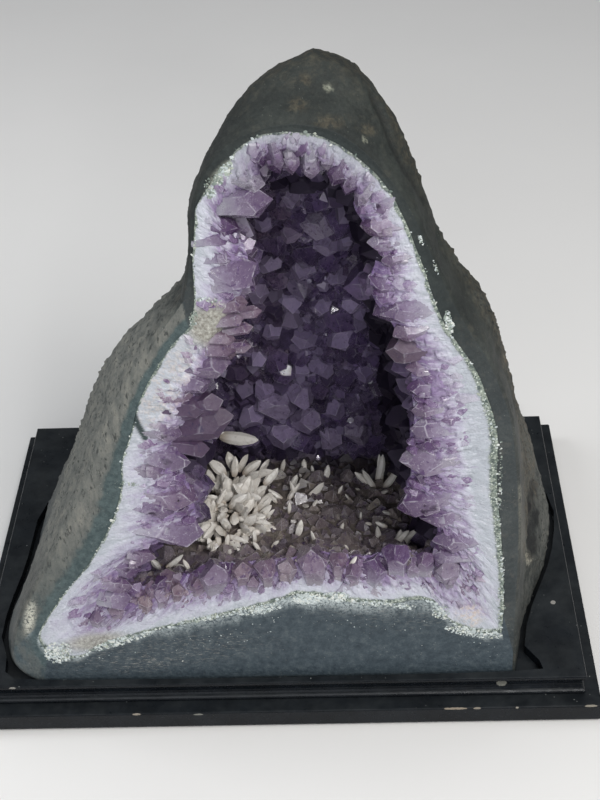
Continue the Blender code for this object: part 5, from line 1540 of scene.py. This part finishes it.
def bed_material():
    p = Paint("quartz_bed")
    _, along, lower, zone = p.layer("grow")
    _, crust_, patch_, beige_ = p.layer("tint")
    _, white_, ground_floor, _ = p.layer("glow")
    fibre = p.math('ADD', p.math('MULTIPLY', p.noise(1.5, 5.0, 0.68, 0.0, p.along("flow", 1.0, 1.0, 0.20)),
                                 p.span(lower, 0.0, 1.0, 1.0, 0.25)),
                   p.math('MULTIPLY', p.noise(2.4, 5.0, 0.72), p.span(lower, 0.0, 1.0, 0.0, 0.75)))
    bundle = p.math('ADD', p.math('MULTIPLY', p.noise(4.2, 5.0, 0.65, 0.6, p.along("flow", 1.0, 1.0, 0.30)),
                                  p.span(lower, 0.0, 1.0, 1.0, 0.25)),
                    p.math('MULTIPLY', p.noise(5.5, 5.0, 0.7, 0.6), p.span(lower, 0.0, 1.0, 0.0, 0.75)))
    broad = p.noise(13.0, 3.0, 0.55, 0.0, p.along("flow", 1.0, 1.0, 0.7))
    s = p.math('ADD', along, p.math('MULTIPLY', p.math('SUBTRACT', fibre, 0.5), 0.42))
    s = p.math('ADD', s, p.math('MULTIPLY', p.math('SUBTRACT', bundle, 0.5), 0.60))
    s = p.math('ADD', s, p.math('MULTIPLY', p.math('SUBTRACT', broad, 0.5), 0.70))
    s = p.math('SUBTRACT', s, p.math('MULTIPLY', white_, 0.35), clamp=True)
    colour = p.ramp(s, [(0.0, (0.45, 0.48, 0.53)), (0.14, (0.54, 0.555, 0.625)), (0.32, (0.47, 0.455, 0.56)),
                        (0.50, (0.31, 0.25, 0.385)), (0.75, (0.195, 0.128, 0.265)), (1.0, (0.16, 0.10, 0.24))])
    colour = p.mix(colour, (0.74, 0.76, 0.81), p.math('MULTIPLY', p.span(fibre, 0.54, 0.68), 0.60))
    haze = p.span(p.noise(8.0, 4.0, 0.6, 0.5, p.along("flow", 1.0, 1.0, 0.4)), 0.48, 0.66)
    colour = p.mix(colour, (0.62, 0.63, 0.69), p.math('MULTIPLY', haze, 0.50))
    stain = p.span(p.noise(5.0, 5.0, 0.7, 0.8, p.along("flow", 1.0, 1.0, 0.5)), 0.57, 0.70)
    colour = p.mix(colour, (0.30, 0.19, 0.40), p.math('MULTIPLY', p.math('MULTIPLY', stain, p.span(along, 0.12, 0.35)), 0.8))
    # flesh-coloured, olive and brown places
    colour = p.mix(colour, p.ramp(p.noise(2.6, 4.0, 0.7), [(0.35, (0.50, 0.41, 0.37)), (0.65, (0.72, 0.65, 0.60))]),
                   p.math('MULTIPLY', beige_, p.span(p.noise(4.0, 4.0, 0.7), 0.42, 0.62)))
    colour = p.mix(colour, p.ramp(p.noise(2.4, 5.0, 0.72), [(0.30, (0.16, 0.145, 0.12)), (0.5, (0.34, 0.33, 0.29)),
                                                            (0.68, (0.56, 0.55, 0.50))]), patch_)
    # speckled green-grey crust beside the rock
    crumb = p.span(p.cell(1.7), 0.42, 0.20)
    veiny = p.span(p.noise(3.0, 5.0, 0.7), 0.42, 0.58)
    ground_ = p.mix((0.075, 0.105, 0.095), (0.30, 0.34, 0.29), veiny)
    crusty = p.mix(ground_, p.ramp(p.noise(2.0, 2.0), [(0.4, (0.46, 0.52, 0.40)), (0.6, (0.72, 0.77, 0.72))]), crumb)
    colour = p.mix(colour, crusty, crust_)
    dark = p.ramp(p.noise(6.0, 5.0, 0.7), [(0.35, (0.030, 0.020, 0.055)), (0.65, (0.12, 0.085, 0.18))])
    dark = p.mix(dark, p.ramp(p.noise(4.0, 5.0, 0.7), [(0.35, (0.07, 0.058, 0.052)), (0.65, (0.22, 0.19, 0.165))]),
                 ground_floor)
    # painted shade under the arch
    colour = p.mix(colour, (0.03, 0.02, 0.045), p.alpha("tint"))
    colour = p.mix(colour, (0.020, 0.038, 0.040), p.alpha("glow"))
    p.set("Base Color", p.mix(colour, dark, zone))
    p.set("Roughness", p.span(bundle, 0.3, 0.7, 0.26, 0.5))
    p.set("IOR", 1.544)
    lift = p.math('ADD', p.math('MULTIPLY', fibre, 1.0), p.math('MULTIPLY', bundle, 1.4))
    p.set("Normal", p.bump(p.math('ADD', lift, p.math('MULTIPLY', p.cell(2.0), 0.5)), 1.1, 0.75))
    return p.mat


bed = piece_of("amethyst_bed", bed_verts, bed_faces, bed_material(), True,
               {"grow": bed_paint, "tint": bed_tint, "glow": bed_pale, "flow": flow_all * MM})
for quartz in [bed, rim_piece, plum_piece, column_piece] + druse_pieces:
    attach(quartz, "root")
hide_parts("amethyst_lining")


# ----------------------------------------------------------------- mineral crust along the seam
class Crumbs:
    """Small uneven lumps, each a distorted twenty-faced body."""

    def __init__(self):
        g = (1.0 + math.sqrt(5.0)) / 2.0
        self.body = norm(np.array([(-1, g, 0), (1, g, 0), (-1, -g, 0), (1, -g, 0), (0, -1, g), (0, 1, g), (0, -1, -g),
                                   (0, 1, -g), (g, 0, -1), (g, 0, 1), (-g, 0, -1), (-g, 0, 1)], float))
        self.tris = [(0, 11, 5), (0, 5, 1), (0, 1, 7), (0, 7, 10), (0, 10, 11), (1, 5, 9), (5, 11, 4), (11, 10, 2),
                     (10, 7, 6), (7, 1, 8), (3, 9, 4), (3, 4, 2), (3, 2, 6), (3, 6, 8), (3, 8, 9), (4, 9, 5),
                     (2, 4, 11), (6, 2, 10), (8, 6, 7), (9, 8, 1)]
        self.verts, self.faces, self.paint, self.count = [], [], [], 0

    def lump(self, rng, place, size, kind):
        scale = size * rng.uniform(0.45, 1.6, 3) * np.array([1.0, 0.42, 1.0])
        pts = self.body * scale * rng.uniform(0.55, 1.25, (12, 1))
        a = rng.uniform(0, 2 * math.pi)
        turn = np.array([(math.cos(a), 0, math.sin(a)), (0, 1, 0), (-math.sin(a), 0, math.cos(a))])
        self.verts.append(pts @ turn + place)
        self.faces.extend(tuple(i + self.count for i in t) for t in self.tris)
        self.paint.append(np.tile([kind, rng.uniform(), 0.0], (12, 1)))
        self.count += 12


crumbs = Crumbs()
rng = rng_of(29)
lumps_per_mm = [(0.0, 0.4), (0.5, 0.2), (0.9, 0.03), (1.4, 0.05), (2.0, 0.22), (3.2, 0.22), (3.8, 0.1), (4.5, 0.55),
                (5.2, 0.8), (6.0, 1.0), (7.0, 1.0), (8.0, 0.8)]
for f in along_seam(0.8, rng):
    s2, m2 = at_loop(seam_loop, f), at_loop(mouth_loop, f)
    where = float(at_loop(column[:, None], f)[0])
    dense = np.interp(where, [k for k, _ in lumps_per_mm], [v for _, v in lumps_per_mm])
    patchy = 0.5 + 0.9 * float(noise3(np.array([[s2[0], 0.0, s2[1]]]), 16.0, 7)[0])
    if rng.uniform() > dense * patchy:
        continue
    d2 = norm(m2 - s2)
    here = s2 + d2 * (abs(rng.normal(1.6, 1.8)) if 4.2 < where < 6.0 else max(-0.6, rng.normal(0.4, 1.1)))
    size = rng.uniform(0.35, 1.15) * (1.25 if where > 5.9 else 1.0)
    crumbs.lump(rng, np.array([here[0], front_y(here[1]) - size * 0.2, here[1]]), size,
                float(rng.uniform() < (0.75 if where > 5.9 or where < 0.8 else 0.35)))
# larger deposits: middle, radii and slant in the photograph's frame, count, size, share of white
for px, py, rx, ry, slant, count, size, white_part in (
        (223, 174, 6, 14, 38, 150, 1.5, 0.35), (211, 193, 5, 7, 30, 60, 1.3, 0.5), (207, 183, 3, 5, 20, 14, 0.9, 0.1),
        (421, 240, 2, 6, -25, 26, 0.9, 0.9), (436, 268, 2, 8, -20, 20, 0.8, 0.6), (449, 322, 4, 12, -12, 80, 1.3, 0.45),
        (307, 599, 15, 5, -3, 200, 1.5, 0.95), (336, 597, 15, 5, 0, 170, 1.4, 0.7), (258, 609, 24, 5, -8, 200, 1.2, 0.9),
        (205, 618, 30, 3, -9, 120, 1.0, 0.7), (118, 642, 36, 4, -16, 200, 1.2, 0.8), (58, 652, 14, 11, 0, 240, 1.3, 0.85),
        (372, 603, 22, 3, 5, 90, 1.0, 0.8), (402, 606, 14, 3, 3, 60, 0.9, 0.7), (440, 611, 10, 8, 30, 110, 1.2, 0.6),
        (474, 632, 30, 5, 8, 240, 1.2, 0.75), (501, 590, 3, 40, 2, 120, 1.0, 0.35), (499, 500, 2.5, 60, 2, 120, 0.9, 0.25),
        (488, 416, 2.5, 30, -18, 80, 0.9, 0.3), (209, 300, 13, 2.5, 4, 70, 1.1, 0.6), (193, 320, 4, 10, 10, 50, 1.0, 0.1),
        (130, 484, 9, 2, 4, 40, 0.9, 0.3)):
    a = math.radians(slant)
    for _ in range(count):
        r, b = math.sqrt(rng.uniform()), rng.uniform(0, 2 * math.pi)
        u, v = rx * r * math.cos(b), ry * r * math.sin(b)
        p = on_saw(px + u * math.cos(a) - v * math.sin(a), py + u * math.sin(a) + v * math.cos(a), 0.0)
        grow = size * rng.uniform(0.35, 1.0) * (1.25 - 0.5 * r)
        crumbs.lump(rng, p + np.array([0.0, -grow * 0.15, 0.0]), grow, float(rng.uniform() < white_part))
# loose specks on the sealed rock below the quartz
for _ in range(90):
    px, py = rng.uniform(75, 500), 0.0
    py = np.interp(px, [75, 160, 300, 420, 500], [662, 640, 612, 618, 645]) + abs(rng.normal(0, 9.0))
    if py < 668:
        crumbs.lump(rng, on_saw(px, py, 0.2), rng.uniform(0.2, 0.5), 1.0)


def crumb_material():
    p = Paint("crumb_crust")
    _, kind, vary, _ = p.layer("grow")
    green = p.ramp(vary, [(0.0, (0.14, 0.18, 0.16)), (0.5, (0.28, 0.33, 0.29)), (1.0, (0.44, 0.47, 0.40))])
    white = p.ramp(vary, [(0.0, (0.42, 0.47, 0.47)), (0.5, (0.60, 0.66, 0.66)), (1.0, (0.72, 0.73, 0.67))])
    base = p.mix(green, white, kind)
    base = p.mix(base, (0.10, 0.10, 0.08), p.math('MULTIPLY', p.span(p.noise(0.9, 4.0, 0.7), 0.55, 0.7), 0.5))
    p.set("Base Color", base)
    p.set("Roughness", p.span(p.noise(1.2, 3.0), 0.3, 0.7, 0.45, 0.8))
    p.set("Normal", p.bump(p.noise(0.7, 4.0, 0.7), 0.25, 0.6))
    return p.mat


crumb_piece = piece_of("mineral_crust", np.concatenate(crumbs.verts), crumbs.faces, crumb_material(), False,
                       {"grow": np.concatenate(crumbs.paint)})
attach(crumb_piece, "root")


# ----------------------------------------------------------------- calcite
def calcite_material():
    p = Paint("calcite")
    _, along, shade, _ = p.layer("grow")
    mist = p.noise(3.0, 5.0, 0.65)
    tone = p.ramp(p.math('ADD', p.math('MULTIPLY', shade, 0.6), p.math('MULTIPLY', mist, 0.4)), [
        (0.1, (0.56, 0.50, 0.43)), (0.4, (0.74, 0.70, 0.64)), (0.75, (0.86, 0.83, 0.78)), (1.0, (0.91, 0.895, 0.86))])
    base = p.mix((0.45, 0.38, 0.31), tone, p.span(along, 0.0, 0.40))
    base = p.mix(base, (0.50, 0.46, 0.41), p.math('MULTIPLY', p.span(p.noise(5.0, 4.0, 0.6), 0.5, 0.68), 0.6))
    base = p.mix(base, (0.92, 0.91, 0.88), p.math('MULTIPLY', p.span(p.noise(1.4, 4.0, 0.7), 0.55, 0.7), 0.4))
    p.set("Base Color", base)
    p.set("Roughness", p.span(p.noise(2.0, 4.0, 0.7), 0.3, 0.7, 0.28, 0.5))
    p.set("Transmission Weight", 0.14)
    p.set("IOR", 1.6)
    p.set("Normal", p.bump(p.noise(1.6, 4.0, 0.65), 0.25, 0.5))
    return p.mat


calcite = calcite_material()


class Blades:
    """Flat pointed blades, six-sided, with a low ridge along each broad side."""

    def __init__(self):
        self.verts, self.faces, self.paint, self.count = [], [], [], 0

    def blade(self, rng, foot, axis, length, width, thin=0.6, shade=None, wild=0.35):
        axis = norm(np.asarray(axis, float))
        u = norm(np.cross(axis, np.array([0.1, -0.72, 0.68]) + rng.normal(0, wild, 3)))
        v = np.cross(axis, u)
        ts = np.array([0.0, 0.10, 0.28, 0.52, 0.74, 0.90, 1.0])
        grow = np.array([0.50, 0.72, 0.93, 1.0, 0.84, 0.50, 0.12]) * rng.uniform(0.92, 1.08, 7)
        around = 6
        # a broad flat section with a low ridge along each side
        across = np.array([1.0, 0.48, -0.52, -1.0, -0.46, 0.50]) + rng.uniform(-0.06, 0.06, 6)
        thick = np.array([0.0, 1.0, 0.92, 0.0, -1.0, -0.94]) * thin * rng.uniform(0.85, 1.1)
        bow = rng.uniform(-0.05, 0.05) * length
        twist = rng.uniform(-0.25, 0.25)
        rings = []
        for t, g in zip(ts, grow):
            c, d = math.cos(twist * t), math.sin(twist * t)
            r = width * 0.5 * g
            mid = foot + axis * (length * t) + u * (bow * math.sin(math.pi * t))
            rings.append(mid + (u * c + v * d) * (r * across)[:, None] + (v * c - u * d) * (r * thick)[:, None])
        pts = np.concatenate(rings + [[foot], [foot + axis * length * 1.01]])
        base = self.count
        for i in range(len(ts) - 1):
            for j in range(around):
                k = (j + 1) % around
                self.faces.append((base + i * around + j, base + i * around + k,
                                   base + (i + 1) * around + k, base + (i + 1) * around + j))
        end0, end1, top = base + len(ts) * around, base + len(ts) * around + 1, base + (len(ts) - 1) * around
        for j in range(around):
            k = (j + 1) % around
            self.faces.append((end0, base + k, base + j))
            self.faces.append((end1, top + j, top + k))
        shade = rng.uniform(0.25, 0.95) if shade is None else shade
        s = np.concatenate([np.repeat(ts, around), [0.0, 1.0]])
        self.verts.append(pts)
        self.paint.append(np.stack([s, np.full(len(s), shade), np.zeros(len(s))], axis=1))
        self.count += len(pts)

    def make(self, name, *nodes):
        piece = piece_of(name, np.concatenate(self.verts), self.faces, calcite, False,
                         {"grow": np.concatenate(self.paint)})
        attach(piece, "root")
        if nodes:
            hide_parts(*nodes)
        return piece


def heading(turn, rise):
    t, r = math.radians(turn), math.radians(rise)
    return np.array([math.cos(t) * math.cos(r), math.sin(t) * math.cos(r), math.sin(r)])


# the rosette: blades that fan from a low mound
rng = rng_of(41)
rosette = Blades()
CX, CY, RX, RY = -40.0, -53.5, 33.0, 39.0
for k in range(70):
    turn_, r = rng.uniform(0, 2 * math.pi), math.sqrt(rng.uniform(0.0, 1.0))
    foot = np.array([CX + RX * r * math.cos(turn_), CY + RY * r * math.sin(turn_), 111.5 + 10.0 * (1.0 - r * r)])
    rosette.blade(rng, foot, norm(np.array([rng.normal(), rng.normal(), rng.uniform(0.3, 1.2)])), rng.uniform(7.0, 10.0),
                  rng.uniform(3.6, 5.0), 0.7, rng.uniform(0.0, 0.5))
for k in range(104):
    r = math.sqrt((k + 0.4) / 104)
    a = k * 2.39996 + rng.uniform(-0.2, 0.2)
    foot = np.array([CX + RX * r * 0.86 * math.cos(a), CY + RY * r * 0.86 * math.sin(a), 112.0 + 15.0 * (1.0 - r * r)])
    lean_ = r * 1.25
    axis = norm(np.array([math.cos(a) * lean_, math.sin(a) * lean_, 0.85 - 0.40 * r]) + rng.normal(0, 0.60, 3))
    if axis[2] < 0.08:
        axis[2] = 0.08 + rng.uniform(0, 0.15)
    length = rng.uniform(12.5, 20.0)
    if rng.uniform() < 0.2:
        length *= 1.2
    most = (141.5 - foot[2]) / length
    if axis[2] > most:
        flat_part = norm(np.array([axis[0] + 1e-3, axis[1]]))
        axis = np.array([*(flat_part * math.sqrt(1.0 - most * most)), most])
    rosette.blade(rng, foot, axis, length, length * rng.uniform(0.40, 0.50), rng.uniform(0.42, 0.66), None, 0.55)
for x, y, z, turn, rise, length, width in ((-26, -21, 127, 20, 34, 18, 8.0), (-32, -18, 128, 120, 44, 17, 7.5),
                                           (-18, -20, 124, -10, 28, 18, 7.0), (-40, -22, 127, 150, 36, 18, 8.0),
                                           (-10, -26, 121, 30, 40, 17, 7.0), (-48, -28, 124, 175, 40, 18, 7.5),
                                           (-30, -14, 124, 60, 30, 16, 7.0), (-58, -36, 120, 160, 40, 18, 7.5),
                                           (-66, -48, 116, 190, 32, 17, 7.0), (-68, -62, 114, 205, 28, 17, 7.5),
                                           (-66, -74, 113, 215, 26, 16, 7.0), (-33, -26, 130, 80, 58, 16, 7.0),
                                           (-22, -28, 129, -30, 50, 16, 7.5), (-14, -14, 120, 50, 36, 15, 6.5)):
    rosette.blade(rng, np.array([x, y, z], float), heading(turn, rise), length, width, 0.5)
rosette.make("calcite_rosette_blades", "calcite_rosette")

ledge = Blades()
ledge.blade(rng, np.array([-44.0, 4.0, 146.5]), heading(-14, 2), 31.0, 11.0, 0.5, 0.85, 0.1)
ledge.blade(rng, np.array([-68.0, -8.0, 150.5]), heading(40, 22), 27.0, 5.0, 0.5, 0.95)
ledge.blade(rng, np.array([-58.0, 0.0, 148.0]), heading(10, 10), 18.0, 4.4, 0.5, 0.8)
ledge.make("calcite_ledge_pair", "calcite_ledge_blades")

sprig = Blades()
for x, y, z, turn, rise, length, width in ((8, -38, 113, 40, 42, 18, 6.0), (15, -36, 113, 120, 58, 16, 5.2),
                                           (24, -35, 113, 28, 36, 18, 6.4), (19, -41, 113, -60, 30, 14, 5.0),
                                           (11, -42, 113, -100, 34, 13, 5.0), (4, -34, 113, 160, 30, 13, 4.8)):
    sprig.blade(rng, np.array([x, y, z], float), heading(turn, rise), length, width)
sprig.make("calcite_sprig_blades", "calcite_back_sprig")

spray = Blades()
for x, y, z, turn, rise, length, width in ((78, -20, 113, 60, 64, 25, 6.2), (83, -25, 113, 20, 54, 21, 5.8),
                                           (77, -27, 113, 150, 56, 20, 5.2), (82, -18, 113, 100, 70, 24, 5.4),
                                           (80, -31, 113, -60, 46, 17, 5.0), (73, -22, 113, 170, 48, 18, 5.0)):
    spray.blade(rng, np.array([x, y, z], float), heading(turn, rise), length, width, 0.6, 0.5)
spray.make("calcite_spray_blades", "calcite_right_spray")

trio = Blades()
for x, y, z, turn, rise, length, width in ((86, -101, 118, 30, 40, 21, 6.2), (91, -103, 118, 75, 48, 18, 5.6),
                                           (95, -97, 118, 20, 52, 19, 5.4), (80, -96, 116, 110, 60, 18, 5.4)):
    trio.blade(rng, np.array([x, y, z], float), heading(turn, rise), length, width, 0.6, 0.7)
trio.make("calcite_trio_blades", "calcite_front_trio")

lone = Blades()
for x, y, z, turn, rise, length, width in ((-86, -108, 113, 250, 62, 20, 6.6), (-81, -106, 112, 20, 30, 16, 4.6),
                                           (-76, -103, 111, -30, 20, 12, 4.2)):
    lone.blade(rng, np.array([x, y, z], float), heading(turn, rise), length, width, 0.6, 0.9)
lone.make("calcite_rim_blades", "calcite_rim_blade")

# single grains strewn over the crystal floor: middle, length and slant in the photograph's frame
grains = Blades()
for px, py, size, slant in ((326, 477, 15, 75), (295, 487, 16, 60), (315, 508, 9, 40), (341, 532, 10, 70),
                            (314, 542, 14, 110), (301, 533, 18, 60), (255, 541, 13, 100), (276, 548, 9, 20),
                            (290, 512, 11, 85), (353, 559, 11, 60), (188, 571, 13, 130), (213, 550, 18, 100),
                            (340, 494, 9, 50), (362, 520, 8, 80), (271, 518, 12, 30), (305, 470, 12, 100),
                            (283, 470, 13, 70), (228, 545, 12, 70), (300, 560, 8, 0), (240, 555, 8, 150)):
    p, n = cast(shell_tree, px, py)
    if p is None:
        continue
    mm_px = np.linalg.norm(p - EYE_MM) / FOCAL
    a = math.radians(slant)
    axis = norm(side * math.cos(a) + upward * math.sin(a) + n * 0.55 + rng.normal(0, 0.1, 3))
    length = size * mm_px * 1.1
    lift = 4.0
    grains.blade(rng, p + n * lift - axis * length * 0.5, axis, length, length * rng.uniform(0.32, 0.42), 0.65)
pts_, ns_, sh_ = scatter(rng, 900)
strewn = 0
for p_, n_, s_ in zip(pts_, ns_, sh_):
    if n_[2] > 0.6 and p_[2] < 140.0 and p_[0] > -20.0 and 0.08 < s_ < 1.0 and strewn < 14:
        axis = norm(n_ * rng.uniform(0.2, 0.9) + rng.normal(0, 0.6, 3))
        length = rng.uniform(5.0, 11.0)
        grains.blade(rng, p_ + n_ * 3.5 - axis * length * 0.4, axis, length, length * 0.38, 0.65)
        strewn += 1
grains.make("calcite_grains")


# ----------------------------------------------------------------- stand
def lacquer_material(name, chips):
    p = Paint(name)
    haze = p.noise(26.0, 5.0, 0.6)
    base = p.mix((0.0035, 0.0048, 0.0068), (0.0075, 0.0098, 0.0130), p.span(haze, 0.35, 0.7))
    # fine dust on what faces up
    split = p.add("ShaderNodeSeparateXYZ")
    p.put(split.inputs[0], p.add("ShaderNodeNewGeometry").outputs["Normal"])
    level = p.span(split.outputs[2], 0.55, 0.95)
    settled = p.math('MULTIPLY', level, p.span(p.noise(34.0, 6.0, 0.7), 0.35, 0.75, 0.25, 1.0))
    base = p.mix(base, (0.050, 0.056, 0.058), p.math('MULTIPLY', settled, 0.45))
    lint = p.span(p.cell(5.2), 0.105, 0.05)
    base = p.mix(base, (0.30, 0.31, 0.30), p.math('MULTIPLY', p.math('MULTIPLY', lint, level),
                                                 p.span(p.noise(40.0, 3.0), 0.48, 0.66)))
    for place, radii, colour in chips:
        base = p.mix(base, colour, p.spot(place, radii))
    p.set("Base Color", base)
    p.set("Roughness", p.math('ADD', p.span(p.noise(9.0, 5.0, 0.65), 0.3, 0.75, 0.20, 0.36),
                              p.math('MULTIPLY', settled, 0.18)))
    p.set("Specular IOR Level", 0.21)
    p.set("Normal", p.bump(p.noise(2.6, 4.0, 0.6), 0.10, 0.35))
    return p.mat


TOP_CHIPS = [((-222.0, -154.0, 36.6), (9.0, 3.0, 1.0), (0.34, 0.24, 0.10)),
             ((206.0, -40.0, 36.9), (3.0, 4.5, 1.2), (0.42, 0.40, 0.36)),
             ((214.0, -78.0, 36.9), (2.0, 2.0, 1.0), (0.30, 0.29, 0.27)),
             ((-201.0, -154.6, 36.0), (2.6, 1.5, 0.8), (0.22, 0.21, 0.19)),
             ((167.0, -153.0, 28.5), (4.0, 7.0, 3.4), (0.16, 0.16, 0.14))]
BASE_CHIPS = [((132.0, -166.2, 17.0), (10.0, 1.4, 0.7), (0.26, 0.22, 0.17)),
              ((-108.0, -166.2, 17.0), (3.2, 1.2, 0.7), (0.26, 0.23, 0.19)),
              ((-61.0, -166.2, 15.8), (3.6, 1.0, 0.8), (0.18, 0.18, 0.16)),
              ((148.0, -166.2, 17.0), (3.0, 1.2, 0.7), (0.24, 0.21, 0.17)),
              ((178.0, -166.2, 17.0), (1.3, 1.2, 0.8), (0.26, 0.24, 0.20)),
              ((233.0, -166.0, 17.2), (4.5, 1.4, 0.7), (0.24, 0.22, 0.18)),
              ((-236.0, -160.0, 17.4), (5.0, 4.0, 1.0), (0.45, 0.44, 0.42))]
for name, chips in (("stand_top_board", TOP_CHIPS), ("stand_base_board", BASE_CHIPS)):
    paint = lacquer_material("lacquer_" + name, chips)
    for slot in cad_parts[name].material_slots:
        slot.material = paint

pad = Paint("felt_pad")
pad.set("Base Color", pad.mix((0.010, 0.010, 0.011), (0.028, 0.028, 0.030), pad.noise(1.2, 4.0)))
pad.set("Roughness", 0.9)
pad.set("Normal", pad.bump(pad.noise(0.8, 3.0), 0.3, 0.5))
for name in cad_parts:
    if name.startswith("stand_foot"):
        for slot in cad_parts[name].material_slots:
            slot.material = pad.mat
